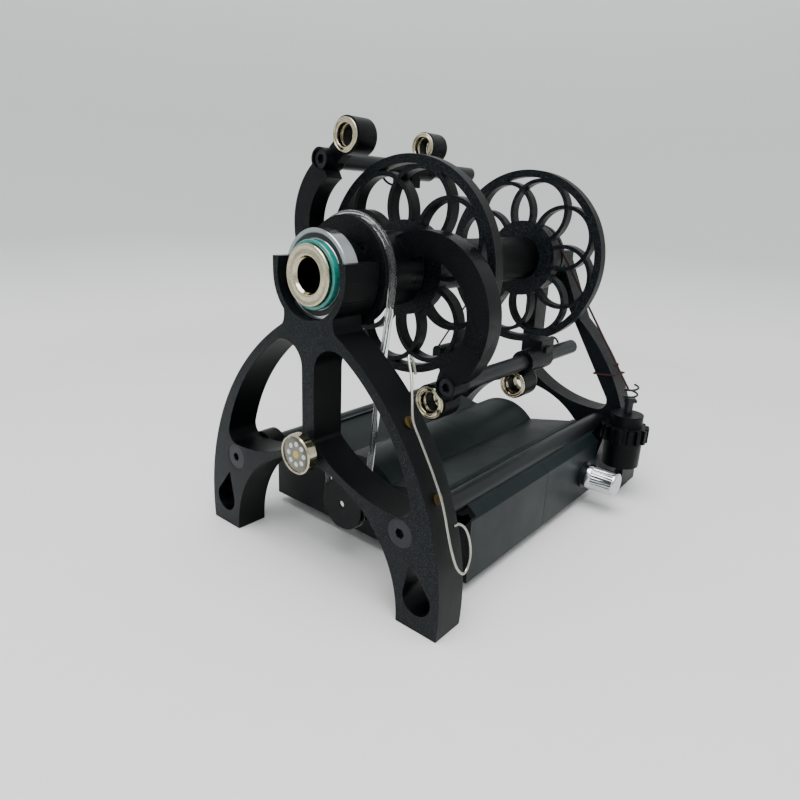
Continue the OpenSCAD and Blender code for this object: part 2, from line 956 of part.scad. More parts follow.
module badge_cup() {
    color(nickel)
    translate([0, 0, badge_z])
        turned_y()
            polygon([
                [0, front_y - 6.2], [badge_r - 1, front_y - 6.2], [badge_r - 1, front_y - 7.4],
                [badge_r - 0.5, front_y - 7.8], [badge_r, front_y - 7.2], [badge_r, front_y - 3],
                [badge_r - 2, front_y - 1.4], [badge_r - 3, front_y - seat], [badge_pin_r, front_y - seat],
                [badge_pin_r, front_y + badge_pin_len], [0, front_y + badge_pin_len],
            ]);
}

module badge_dome() {
    lens_r = 21;
    rim = badge_r - 1.1;
    back = front_y - 6.3;
    sag = lens_r - sqrt(lens_r * lens_r - rim * rim);
    color("#e9e7da")
    translate([0, 0, badge_z])
        intersection() {
            bar_y(back - 4, 4, rim);
            translate([0, back - 0.6 - sag + lens_r, 0]) sphere(lens_r, $fn = 128);
        }
}

module hook_magnets() {
    color("#c9a24a") magnets(magnet_r, 0);
}

// ---- Bearings ----

// One race, as a ring with a ball groove at the pitch radius
module race(y, width, outer, inner, pitch, ball) {
    difference() {
        ring_y(y, width, outer, inner);
        turned_y() translate([pitch, y + width / 2]) circle(ball + ball_gap, $fn = 48);
    }
}

module ball_set(y, pitch, ball, count) {
    for (k = [0 : count - 1])
        rotate([0, 360 * k / count, 0])
            translate([pitch, y, 0]) sphere(ball, $fn = 32);
    difference() {
        ring_y(y + 0.6, ball - 0.15, pitch + cage_t / 2, pitch - cage_t / 2);
        for (k = [0 : count - 1])
            rotate([0, 360 * k / count, 0])
                translate([pitch, y, 0]) sphere(ball + ball_gap, $fn = 32);
    }
}

module seals(y, width, outer, inner) {
    for (at = [y + 0.3, y + width - 0.3 - seal_t])
        ring_y(at, seal_t, outer, inner);
}

module front_bearing_outer() {
    color(steel) race(fb_y, fb_w, fb_r, fb_r - fb_race, fb_pitch, fb_ball_r);
}

module front_bearing_inner() {
    color(steel) race(fb_y, fb_w, fb_bore + fb_race, fb_bore + seat, fb_pitch, fb_ball_r);
}

module rear_bearing_outer() {
    color(steel) race(rb_y, rb_w, rb_r, rb_r - rb_race, rb_pitch, rb_ball_r);
}

module rear_bearing_inner() {
    color(steel) race(rb_y, rb_w, shaft_r + rb_race, shaft_r + seat, rb_pitch, rb_ball_r);
}

module bearing_seals() {
    color(black) {
        seals(fb_y, fb_w, fb_r - fb_race - seat, fb_bore + fb_race + 0.1);
        seals(rb_y, rb_w, rb_r - rb_race - seat, shaft_r + rb_race + 0.1);
    }
}

module front_bearing_balls() {
    color(steel) ball_set(fb_y + fb_w / 2, fb_pitch, fb_ball_r, front_ball_count);
}

module rear_bearing_balls() {
    color(steel) ball_set(rb_y + rb_w / 2, rb_pitch, rb_ball_r, rear_ball_count);
}

// ---- Flyer ----

// The lower right arm's pieces; the other arm is the same, turned half round
module both_arms() {
    children();
    rotate([0, 180, 0]) children();
}

module arm_curve() {
    from = atan2(rod_z - arm_c[1], rod_x - arm_c[0]);
    to = atan2(-arm_c[1], -arm_c[0]);
    translate([arm_c[0], arm_end, arm_c[1]])
        rotate([90, 0, 0])
            rotate([0, 0, from])
                rotate_extrude(angle = to - from, $fn = 180)
                    translate([arm_r - arm_w / 2, 0]) square([arm_w, arm_t]);
}

module ring_web() {
    span = [ring_x - rod_x, ring_z - rod_z];
    translate([rod_x, 0, rod_z])
        rotate([0, -atan2(span[1], span[0]), 0])
            translate([0, ring_y + 1, -web_w / 2]) cube([norm(span), web_t, web_w]);
}

module arm_solid() {
    arm_curve();
    translate([rod_x, 0, rod_z]) bar_y(arm_y - 1, arm_t + 2, boss_r);
    translate([ring_x, 0, ring_z]) bar_y(ring_y, ring_len, fixed_ring_r);
    ring_web();
}

module arm_holes() {
    translate([rod_x, 0, rod_z]) {
        bar_y(arm_y - 2, head_y - arm_y + 2, m5_head_r + 0.1);
        bar_y(arm_y, arm_t, m5_r + 0.1);
        bar_y(head_y + 2, arm_t, rod_r + seat);
    }
    translate([ring_x, 0, ring_z]) bar_y(ring_y - 1, ring_len + 2, barrel_r + seat);
}

module flyer_yoke() {
    way = atan2(-ring_z, -ring_x);
    color(black)
    difference() {
        union() {
            bar_y(hub_y, arm_end - hub_y, hub_r);
            bar_y(arm_end - eps, nose_end - arm_end, nose_r);
            both_arms() arm_solid();
        }
        bar_y(hub_y - 1, tube_end - hub_y + 1, fb_bore + seat);
        bar_y(hub_y, cavity_end - hub_y, tube_bore + 1);
        bar_y(hub_y, big, shaft_r + seat);
        both_arms() arm_holes();
        both_arms()
            translate([0, exit_y, 0])
                rotate([0, 90 - way, 0]) cylinder(h = 40, r = exit_r);
        for (k = [0 : 2])
            rotate([0, -whorl_screw_a + 120 * k, 0])
                translate([whorl_screw_r - 3.4, 0, 0]) bar_y(hub_y - 1, 9, m3_r + seat);
    }
}

module drive_whorl() {
    color(black)
    difference() {
        turned_y()
            difference() {
                translate([fb_bore + seat, whorl_y]) square([whorl_r - fb_bore - seat, whorl_w - seat]);
                translate([band_top_r, band_y]) circle(band_r + clear, $fn = 48);
                for (k = [0 : 2])
                    translate([whorl_r + 0.1, whorl_y + 0.7 + 0.8 * k]) circle(0.3, $fn = 16);
            }
        for (k = [0 : 2])
            rotate([0, -whorl_screw_a + 120 * k, 0])
                translate([whorl_screw_r - 3.4, 0, 0]) {
                    bar_y(whorl_y - 1, whorl_w + 2, m3_r + 0.1);
                    bar_y(whorl_y - 1, 2.9, m3_head_r - 0.5 + 0.1);
                }
    }
}

module whorl_screws() {
    color(dark_steel)
    for (k = [0 : 2])
        rotate([0, -whorl_screw_a + 120 * k, 0])
            translate([whorl_screw_r - 3.4, 0, 0])
                difference() {
                    union() {
                        bar_y(whorl_y + 0.3, 1.58, m3_head_r - 0.5);
                        bar_y(whorl_y + 0.3, 12, m3_r);
                    }
                    translate([0, whorl_y, 0]) rotate([-90, 0, 0]) cylinder(h = 1.4, r = 1.1, $fn = 6);
                }
}

module orifice_tube() {
    color(black)
    difference() {
        union() {
            bar_y(2, tube_end - 2 - seat, fb_bore);
            bar_y(fb_back + 0.1, whorl_y - fb_back - 0.1 - seat, fb_bore + 1.7);
        }
        bar_y(0, 60, tube_bore);
    }
}

module orifice_eyelet() {
    flange_t2 = 1.9;
    crest_r = orifice_r + 1.6;
    color(nickel)
    turned_y()
        difference() {
            union() {
                translate([orifice_r, 1]) square([tube_bore - orifice_r - seat, 11]);
                translate([orifice_r + 1, 0.6]) square([eyelet_r - orifice_r - 1.9, flange_t2 - 0.6]);
                translate([crest_r, 1]) circle(1, $fn = 48);
                translate([crest_r - 1.6, 1]) square([1.6, 0.6]);
                translate([eyelet_r - 0.95, flange_t2 / 2]) circle(flange_t2 / 2, $fn = 48);
            }
            translate([orifice_r - 0.6, -0.6]) square([0.6 + eps, 1]);
        }
}

module teal_sleeve() {
    color("#0f6f66")
    turned_y()
        difference() {
            union() {
                translate([fb_bore + seat, 1.95]) square([1.2, fb_y - 1.95 - seat]);
                translate([fb_bore + 0.9, 1.95 + 0.8]) square([0.8, fb_y - 1.95 - 0.8 - seat]);
                translate([fb_bore + 0.9, 1.95 + 0.8]) circle(0.8, $fn = 48);
            }
            translate([0, 0]) square([fb_bore + seat, 10]);
        }
}

module flyer_shaft() {
    color(steel)
    difference() {
        bar_y(cavity_end + 0.5, shaft_end - cavity_end - 0.5, shaft_r);
        bar_y(shaft_end - 8, 9, 1.6);
    }
}

module shaft_spacer() {
    color(black) ring_y(bobbin_end + clear, rb_y - bobbin_end - clear - seat, 6, shaft_r + seat);
}

module guide_rod(s) {
    color(dark_steel)
    translate([s * rod_x, 0, s * rod_z])
        difference() {
            union() {
                bar_y(head_y + 2 + seat, rod_end - head_y - 3, rod_r);
                translate([0, rod_end - 1 - eps, 0])
                    rotate([-90, 0, 0]) cylinder(h = 1, r1 = rod_r, r2 = rod_r - 0.8);
            }
            bar_y(head_y, 12, m5_r + seat);
        }
}

module lower_rod() { guide_rod(1); }
module upper_rod() { guide_rod(-1); }

module rod_screws() {
    color(dark_steel)
    both_arms()
        translate([rod_x, 0, rod_z])
            difference() {
                union() {
                    bar_y(head_y - 4.5, 4.5 - seat, m5_head_r);
                    bar_y(head_y - 1, 11, m5_r);
                }
                translate([0, head_y - 5, 0]) rotate([-90, 0, 0]) cylinder(h = 3, r = 4 / sqrt(3), $fn = 6);
            }
}

// Flanged eyelet facing -Y, its flange's back at y
module grommet(y, flange) {
    turned_y()
        difference() {
            union() {
                translate([grommet_hole_r, y - 0.5]) square([barrel_r - grommet_hole_r, barrel_len]);
                translate([grommet_hole_r + 0.5, y - grommet_t])
                    square([flange - grommet_hole_r - 1.1, grommet_t - seat]);
                translate([flange - 0.6, y - 0.6 - seat]) circle(0.58, $fn = 32);
                translate([grommet_hole_r + 0.6, y - 0.7]) circle(0.6, $fn = 32);
            }
            translate([0, y - 3]) square([grommet_hole_r, 20]);
        }
}

// A grommet at each end of a ring body that starts at y
module ring_grommets(y, flange) {
    grommet(y, flange);
    translate([0, 2 * y + ring_len, 0]) mirror([0, 1, 0]) grommet(y, flange);
}

module fixed_ring_grommets() {
    color(nickel)
    both_arms()
        translate([ring_x, 0, ring_z]) ring_grommets(ring_y, grommet_r + 0.5);
}

// ---- Bobbin ----

module flange_outline(turn) {
    difference() {
        union() {
            difference() {
                circle(flange_r, $fn = 180);
                circle(flange_r - rim_w, $fn = 180);
            }
            intersection() {
                circle(flange_r - rim_w + 0.5, $fn = 180);
                for (k = [0 : petals - 1])
                    rotate(90 - turn + 360 * k / petals)
                        translate([petal_dist, 0])
                            difference() {
                                circle(petal_r + petal_w / 2);
                                circle(petal_r - petal_w / 2);
                            }
            }
            circle(disc_r);
        }
        circle(core_r + seat);
    }
}

module bobbin_front_flange() {
    color(black) plate_y(bobbin_y, flange_t) flange_outline(14);
}

module bobbin_rear_flange() {
    color(black) plate_y(rear_flange_y, flange_t) flange_outline(17.5);
}

module bobbin_core() {
    color(black) ring_y(bobbin_y, bobbin_end - bobbin_y, core_r, core_bore);
}

module bobbin_bushes() {
    color("#b08a4a") {
        ring_y(bobbin_y, bush_len, core_bore - seat, shaft_r + run);
        ring_y(bobbin_end - bush_len, bush_len, core_bore - seat, shaft_r + run);
    }
}

module brake_whorl() {
    from = rear_flange_y + flange_t + seat;
    color(black)
    turned_y()
        difference() {
            translate([core_r + seat, from]) square([brake_r - core_r, brake_w - seat]);
            translate([cord_run_r, cord_y]) circle(cord_r + clear, $fn = 32);
            translate([cord_run_r, cord_y - cord_r - clear]) square([5, 2 * (cord_r + clear)]);
        }
}

// ---- Drive ----

module motor_pulley() {
    color(black)
    translate([0, 0, motor_z])
        turned_y()
            difference() {
                union() {
                    translate([motor_shaft_r + seat, pulley_y]) square([pulley_r - motor_shaft_r, pulley_w]);
                    translate([motor_shaft_r + seat, pulley_y]) square([5, pulley_w + 5.4]);
                }
                translate([band_low_r, band_y]) circle(band_r + clear, $fn = 48);
            }
}

module motor_shaft() {
    color(steel)
    translate([0, 0, motor_z]) bar_y(pulley_y + 0.5, motor_len + 6, motor_shaft_r);
}

// Arc of a round line about the y axis, from angle a by sweep degrees, seen from the front
module round_arc(radius, a, sweep, r) {
    rotate([90, 0, 0])
        rotate([0, 0, a])
            rotate_extrude(angle = sweep, $fn = 180)
                translate([radius, 0]) circle(r, $fn = 32);
}

// Straight round line between two points in the plane of y
module round_span(a, b, r) {
    way = atan2(b[1] - a[1], b[0] - a[0]);
    translate([a[0], 0, a[1]])
        rotate([0, 90 - way, 0])
            cylinder(h = norm(b - a), r = r, $fn = 32);
}

module drive_band() {
    top = on_circle([0, 0], band_top_r, band_tilt);
    low = on_circle([0, motor_z], band_low_r, band_tilt);
    weld = top + weld_at * unit(low - top);
    color("#dfe6e6")
    translate([0, band_y, 0]) {
        round_arc(band_top_r, band_tilt, 180 - 2 * band_tilt, band_r);
        translate([0, 0, motor_z])
            round_arc(band_low_r, 180 - band_tilt, 180 + 2 * band_tilt, band_r);
        both_sides() round_span(top, low, band_r);
        translate([weld[0], 0, weld[1]]) sphere(2.1, $fn = 32);
    }
}

// ---- Brake ----

// Where a line from p meets the circle of radius r about the axis (s = 1 right, -1 left)
function tangent_angle(p, r, s) = atan2(p[1], p[0]) + s * acos(r / norm(p));

right_a = tangent_angle(hook_point, cord_run_r, 1);
left_a = tangent_angle(anchor, cord_run_r, -1) + 360;
right_t = on_circle([0, 0], cord_run_r, right_a);
split_point = right_t + split_len * unit(hook_point - right_t);

module brake_cord() {
    left_t = on_circle([0, 0], cord_run_r, left_a);
    steps = 18;
    flat = concat(
        [anchor, 0.5 * (anchor + left_t)],
        [for (i = [0 : steps]) on_circle([0, 0], cord_run_r, left_a + (right_a - left_a) * i / steps)],
        [0.5 * (right_t + split_point), split_point]
    );
    color("#4a1416") tube([for (p = flat) [p[0], cord_y, p[1]]], cord_r, 8);
}

module brake_cord_end() {
    len = norm(hook_point - split_point);
    way = atan2(hook_point[1] - split_point[1], hook_point[0] - split_point[0]);
    color("#4a1416")
    translate([split_point[0], cord_y, split_point[1]])
        rotate([0, 90 - way, 0])
            rotate_extrude($fn = 32) {
                square([cord_r, len]);
                intersection() {
                    translate([0, knot_at * len]) circle(knot_r);
                    square([knot_r, len]);
                }
            }
}

module cord_keeper() {
    color("#4a1416") tube(keeper_route, keeper_r, 8, true);
}

module cord_anchor() {
    size = [anchor_w, 16, 12];
    at = [anchor[0] - size[0] / 2, cord_y - 2.5, anchor[1] - size[2] - 0.05];
    color(black)
    difference() {
        union() {
            translate(at) cube([size[0] + 4, size[1], size[2] - 3.5]);
            translate([at[0] + size[0] / 2, at[1], at[2] + size[2] - 3.5]) bar_y(0, size[1], size[0] / 2);
            translate([at[0], at[1], at[2] + size[2] - 3.6]) cube([size[0], size[1], 0.2]);
        }
        plate_y(0, big) translate([-leg_c[0], leg_c[1]]) circle(leg_r + seat, $fn = 180);
        at_anchor_screw() translate([0, 0, -1]) cylinder(h = 20, r = m3_r + seat);
    }
}

module tension_housing() {
    color(black)
    difference() {
        union() {
            translate([tens_x, tens_y, housing_z]) cylinder(h = housing_h, r = housing_r);
            translate([tens_x - housing_r, tens_y, housing_z])
                cube([housing_r * 2 - 3, tens_gap, housing_h]);
        }
        translate([0, rear_y - seat, housing_z - 1]) cube([big, big, housing_h + 2]);
        translate([tens_x, tens_y, housing_z - 1]) cylinder(h = housing_h + 2, r = m5_r + 0.5);
        translate([tens_x, tens_y, housing_z + housing_h - spigot_len - 0.5])
            cylinder(h = spigot_len + 1, r = spigot_r + run);
        translate([tens_x + 6.4, tens_y, housing_z - 1]) cylinder(h = 8.5, r = m3_r + seat);
    }
}

module tension_wheel() {
    root = wheel_r - 2.2;
    tooth = 0.55 * 2 * PI * root / wheel_teeth;
    color(black)
    translate([tens_x, tens_y, 0])
        difference() {
            union() {
                translate([0, 0, wheel_z - spigot_len - clear])
                    cylinder(h = spigot_len + clear + 0.1, r = spigot_r);
                translate([0, 0, wheel_z]) cylinder(h = wheel_h, r = root);
                for (k = [0 : wheel_teeth - 1])
                    rotate([0, 0, 360 * (k + 0.5) / wheel_teeth])
                        intersection() {
                            translate([0, -tooth / 2, wheel_z]) cube([wheel_r + 1, tooth, wheel_h]);
                            cylinder(h = big, r = wheel_r, center = true);
                        }
                translate([0, 0, wheel_z + wheel_h - eps]) cylinder(h = cap_h, r = cap_r);
            }
            translate([0, 0, wheel_z - spigot_len - 1]) cylinder(h = 60, r = m5_r + run);
        }
}

module tension_rod() {
    color(black)
    translate([tens_x, tens_y, 0]) {
        translate([0, 0, rod_low]) cylinder(h = rod_top - rod_low, r = m5_r);
        translate([0, 0, rod_top - 3]) cylinder(h = 3, r = collar_r);
    }
}

module hook_ring() {
    steps = ceil(24 * loop_turns);
    low = rod_top - 2.2;
    route = [
        for (i = [0 : steps])
            let (a = 360 * i / 24)
            [tens_x + loop_r * cos(a), tens_y + loop_r * sin(a), low + loop_pitch * i / 24]
    ];
    gap = min([for (i = [0 : steps], j = [i + 12 : 1 : steps]) norm(route[i] - route[j])]) - 2 * ring_wire_r;
    echo(hook_ring_least_gap = gap);
    color(steel) tube(route, ring_wire_r, 6);
}

// ---- Sliding ring guides ----

// Guide about a rod at the origin: its ring (+z) leads, its clamp block (-z) and
// the spring tongue that rides on the rod follow
module guide_body() {
    difference() {
        union() {
            bar_y(sleeve_at, sleeve_len, rod_r + 2.2);
            translate([guide_off[0], 0, guide_off[1]]) bar_y(0, ring_len, slide_ring_r);
            translate([guide_off[0] / 2 - 4, sleeve_at, 0]) cube([8, ring_len - sleeve_at, 8]);
            translate([-4, block_at, -clamp_drop]) cube([8, block_len, clamp_drop]);
            translate([-5.4, block_at + 3, -6.6]) cube([10.8, 6, 4]);
            translate([0, 0, -clamp_drop + 2]) tongue_arc();
        }
        bar_y(-1, block_at + block_len + 2, rod_r + run);
        translate([guide_off[0], 0, guide_off[1]]) {
            bar_y(-4, ring_len + 8, barrel_r + seat);
            bar_y(ring_len, grommet_t + seat, grommet_r + seat);
        }
    }
}

// Arched tongue from the clamp block back down to just above the rod
module tongue_arc() {
    from = block_at + block_len - 1;
    rise = clamp_drop - 2 - rod_r - clear - tongue_r;
    half = tongue_len / 2;
    radius = (half * half + tongue_sag * tongue_sag) / (2 * tongue_sag);
    sweep = 2 * asin(half / radius);
    slope = atan2(rise, tongue_len);
    translate([0, from, 0])
        rotate([slope, 0, 0])
            translate([0, half, radius - tongue_sag])
                rotate([0, 90, 0])
                    rotate([0, 0, -sweep / 2])
                        rotate_extrude(angle = sweep, $fn = 120)
                            translate([radius, 0]) circle(tongue_r, $fn = 32);
}

module guide_grommets() {
    translate([guide_off[0], 0, guide_off[1]]) ring_grommets(0, grommet_r);
}

module at_upper_guide() {
    translate([-rod_x, upper_guide_y, -rod_z]) mirror([0, 1, 0]) children();
}

module at_lower_guide() {
    translate([rod_x, lower_guide_y, rod_z]) rotate([0, 180, 0]) children();
}

module upper_guide() {
    color(black) at_upper_guide() guide_body();
}

module lower_guide() {
    color(black) at_lower_guide() guide_body();
}

module upper_guide_grommets() {
    color(nickel) at_upper_guide() guide_grommets();
}

module lower_guide_grommets() {
    color(nickel) at_lower_guide() guide_grommets();
}

module threading_hook() {
    color(steel) tube(hook_route, hook_wire_r, 8);
}

front_frame();
rear_frame();
left_rail();
right_rail();
frame_screws();
base_front_shell();
base_rear_shell();
base_cover();
small_screws();
motor_can();
control_board();
speed_pot();
pot_nut();
power_jack();
badge_cup();
badge_dome();
hook_magnets();
drive_band();
brake_cord();
brake_cord_end();
cord_keeper();
cord_anchor();
tension_housing();
front_bearing_outer();
rear_bearing_outer();
bearing_seals();
front_bearing_balls();
rear_bearing_balls();
flyer_yoke();
drive_whorl();
whorl_screws();
orifice_tube();
orifice_eyelet();
teal_sleeve();
front_bearing_inner();
rear_bearing_inner();
flyer_shaft();
shaft_spacer();
upper_rod();
lower_rod();
rod_screws();
fixed_ring_grommets();
bobbin_core();
bobbin_front_flange();
bobbin_rear_flange();
bobbin_bushes();
brake_whorl();
motor_pulley();
motor_shaft();
speed_knob();
pot_shaft();
tension_wheel();
tension_rod();
hook_ring();
upper_guide();
upper_guide_grommets();
lower_guide();
lower_guide_grommets();
threading_hook();
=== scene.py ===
import math

import bmesh
import bpy
from mathutils import Matrix, Vector


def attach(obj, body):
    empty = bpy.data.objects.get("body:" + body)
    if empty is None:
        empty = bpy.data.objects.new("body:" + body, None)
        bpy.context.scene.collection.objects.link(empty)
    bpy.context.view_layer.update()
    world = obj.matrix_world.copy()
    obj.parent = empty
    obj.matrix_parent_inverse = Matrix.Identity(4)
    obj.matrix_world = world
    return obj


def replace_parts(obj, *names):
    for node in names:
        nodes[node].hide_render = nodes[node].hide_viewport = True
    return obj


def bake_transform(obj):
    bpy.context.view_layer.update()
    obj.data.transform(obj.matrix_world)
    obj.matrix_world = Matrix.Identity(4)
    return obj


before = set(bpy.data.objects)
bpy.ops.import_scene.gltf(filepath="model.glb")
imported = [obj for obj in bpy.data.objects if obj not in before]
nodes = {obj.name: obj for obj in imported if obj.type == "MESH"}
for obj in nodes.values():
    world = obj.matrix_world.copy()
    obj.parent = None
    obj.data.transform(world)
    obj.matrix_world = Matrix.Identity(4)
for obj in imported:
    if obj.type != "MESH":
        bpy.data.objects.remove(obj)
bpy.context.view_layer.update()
mm = 0.001

# Small helpers


def linear(hexColour, alpha=1.0):
    # sRGB as two-digit hex values to linear light
    parts = [int(hexColour[i:i + 2], 16) / 255 for i in (1, 3, 5)]
    return [c / 12.92 if c <= 0.04045 else ((c + 0.055) / 1.055) ** 2.4 for c in parts] + [alpha]


def addObject(name, data):
    made = bpy.data.objects.new(name, data)
    bpy.context.scene.collection.objects.link(made)
    return made


def addNode(tree, kind, values=None, links=None, stops=()):
    # A key in lower case sets the node itself, any other key one of its inputs;
    # stops are a colour ramp's places and hex colours
    node = tree.nodes.new(kind)
    for key, value in (values or {}).items():
        if isinstance(key, str) and not key[0].isupper():
            setattr(node, key, value)
        else:
            node.inputs[key].default_value = value
    for key, socket in (links or {}).items():
        tree.links.new(socket, node.inputs[key])
    if stops:
        elements = node.color_ramp.elements
        while len(elements) < len(stops):
            elements.new(0.5)
        for element, (at, colour) in zip(elements, stops):
            element.position = at
            element.color = linear(colour)
    return node


def newMaterial(name, values, preview):
    material = bpy.data.materials.new(name)
    material.use_nodes = True
    material.diffuse_color = linear(preview)
    tree = material.node_tree
    tree.nodes.clear()
    shader = addNode(tree, "ShaderNodeBsdfPrincipled", values)
    addNode(tree, "ShaderNodeOutputMaterial", links={"Surface": shader.outputs[0]})
    place = addNode(tree, "ShaderNodeTexCoord").outputs["Object"]
    return material, tree, shader, place


def paint(material, *names):
    for name in names:
        slots = nodes[name].data.materials
        slots.clear()
        slots.append(material)


def meshPiece(name, points, faces, material, sharpAngle=35):
    mesh = bpy.data.meshes.new(name)
    mesh.from_pydata([Vector(p) for p in points], [], faces)
    work = bmesh.new()
    work.from_mesh(mesh)
    bmesh.ops.remove_doubles(work, verts=work.verts, dist=1e-7)
    bmesh.ops.recalc_face_normals(work, faces=work.faces)
    work.to_mesh(mesh)
    work.free()
    for polygon in mesh.polygons:
        polygon.use_smooth = True
    mesh.set_sharp_from_angle(angle=math.radians(sharpAngle))
    mesh.materials.append(material)
    return addObject(name, mesh)


def lathe(name, profile, centre, material, segments=96):
    # profile: closed loop of (radius, distance along Y) in mm
    points, faces, count = [], [], len(profile)
    for k in range(segments):
        angle = 2 * math.pi * k / segments
        for radius, along in profile:
            local = Vector((radius * math.cos(angle), along, radius * math.sin(angle)))
            points.append((Vector(centre) + local) * mm)
    for k in range(segments):
        for i in range(count):
            j, n = (i + 1) % count, (k + 1) % segments
            faces.append((k * count + i, k * count + j, n * count + j, n * count + i))
    return meshPiece(name, points, faces, material)


def roundCorner(centre, radius, fromAngle, toAngle, steps=8):
    angles = [math.radians(fromAngle + (toAngle - fromAngle) * k / steps) for k in range(steps + 1)]
    return [(centre[0] + radius * math.cos(a), centre[1] + radius * math.sin(a)) for a in angles]


def curvePoints(route, steps, closed=False):
    # Smooth line through the given points
    count = len(route)
    route = [Vector(p) for p in route]
    made = []
    for i in range(count if closed else count - 1):
        if closed:
            a, b, c, d = (route[(i + k) % count] for k in (-1, 0, 1, 2))
        else:
            b, c = route[i], route[i + 1]
            a = route[i - 1] if i else 2 * b - c
            d = route[i + 2] if i + 2 < count else 2 * c - b
        for step in range(steps):
            t = step / steps
            made.append(0.5 * (2 * b + (c - a) * t + (2 * a - 5 * b + 4 * c - d) * t * t
                               + (3 * b - a - 3 * c + d) * t ** 3))
    if not closed:
        made.append(route[-1])
    return made


def sweep(name, route, radiusAt, sides, material, closed=False, sharpAngle=50):
    # Round tube along a route in mm; radiusAt(i, angle) gives its radius
    count = len(route)
    points, faces = [], []
    outward = Vector((0, 0.31, 0.95))  # along none of the routes
    for i, here in enumerate(route):
        ahead = route[(i + 1) % count] if closed else route[min(i + 1, count - 1)]
        behind = route[i - 1] if closed or i else route[0]
        along = (ahead - behind).normalized()
        outward = (outward - outward.dot(along) * along).normalized()
        across = along.cross(outward)
        for k in range(sides):
            angle = 2 * math.pi * k / sides
            out = math.cos(angle) * outward + math.sin(angle) * across
            points.append((here + radiusAt(i, angle) * out) * mm)
    for i in range(count if closed else count - 1):
        j = (i + 1) % count
        for k in range(sides):
            m = (k + 1) % sides
            faces.append((i * sides + k, i * sides + m, j * sides + m, j * sides + k))
    if not closed:
        faces.append(tuple(range(sides)))
        faces.append(tuple(range((count - 1) * sides, count * sides)))
    return meshPiece(name, points, faces, material, sharpAngle)


def fromTree(name, source, tree, inputs, material):
    # Runs a geometry node tree on source and keeps the result as a plain mesh
    modifier = source.modifiers.new(name, "NODES")
    modifier.node_group = tree
    sockets = {item.name: item.identifier for item in tree.interface.items_tree
               if item.in_out == "INPUT"}
    for key, value in inputs.items():
        modifier[sockets[key]] = value
    source.data.update()
    evaluated = source.evaluated_get(bpy.context.evaluated_depsgraph_get())
    mesh = bpy.data.meshes.new_from_object(evaluated)
    mesh.name = name
    mesh.materials.clear()
    mesh.materials.append(material)
    piece = addObject(name, mesh)
    bpy.data.objects.remove(source)
    return piece


def wireSource(name, points, closed=False):
    mesh = bpy.data.meshes.new(name)
    count = len(points)
    edges = [(i, (i + 1) % count) for i in range(count if closed else count - 1)]
    mesh.from_pydata([Vector(p) * mm for p in points], edges, [])
    return addObject(name, mesh)


# Camera, solved from the frames, rails, rings and flanges in the photograph

cameraView = {
    "place": (0.18747, -0.16689, 0.0300),  # metres
    "azimuth": 39.22,  # degrees, round from looking along +Y
    "down": 18.0,
    "roll": 2.56,
    "lens": 27.565,  # mm
    "sensor": 36.0,
    "clip": (0.01, 20),  # metres
}


def makeCamera(settings):
    around, down, roll = (math.radians(settings[k]) for k in ("azimuth", "down", "roll"))
    ahead = Vector((-math.sin(around) * math.cos(down), math.cos(around) * math.cos(down),
                    -math.sin(down)))
    right = Vector((math.cos(around), math.sin(around), 0))
    up = right.cross(ahead)
    right, up = (
        math.cos(roll) * right + math.sin(roll) * up,
        math.cos(roll) * up - math.sin(roll) * right,
    )
    data = bpy.data.cameras.new("photoCamera")
    data.lens = settings["lens"]
    data.sensor_width = settings["sensor"]
    data.clip_start, data.clip_end = settings["clip"]
    camera = addObject("photoCamera", data)
    turn = Matrix((right, up, -ahead)).transposed().to_4x4()
    camera.matrix_world = Matrix.Translation(settings["place"]) @ turn
    bpy.context.scene.camera = camera


makeCamera(cameraView)

# Materials. Sizes of grain, edges and bumps are in mm

noiseSpan = {1: 0.3, 2: 0.7}  # where nearly all values of a noise lie

printBasics = {
    "ior": 1.46, "edge": 0.35, "runsPerMetre": 45, "layersPerRun": 1.7, "cloudsPerMetre": 38.0,
    "plateFrom": 0.93, "plateTo": 0.985,  # the normal's share along the layers
    "shinier": 0.05, "duller": 0.06, "layerDepth": 0.06, "runStrength": 0.25, "runDepth": 0.08,
    "grainStrength": 0.75, "grainDepth": 0.45,  # depth as a share of the grain
}


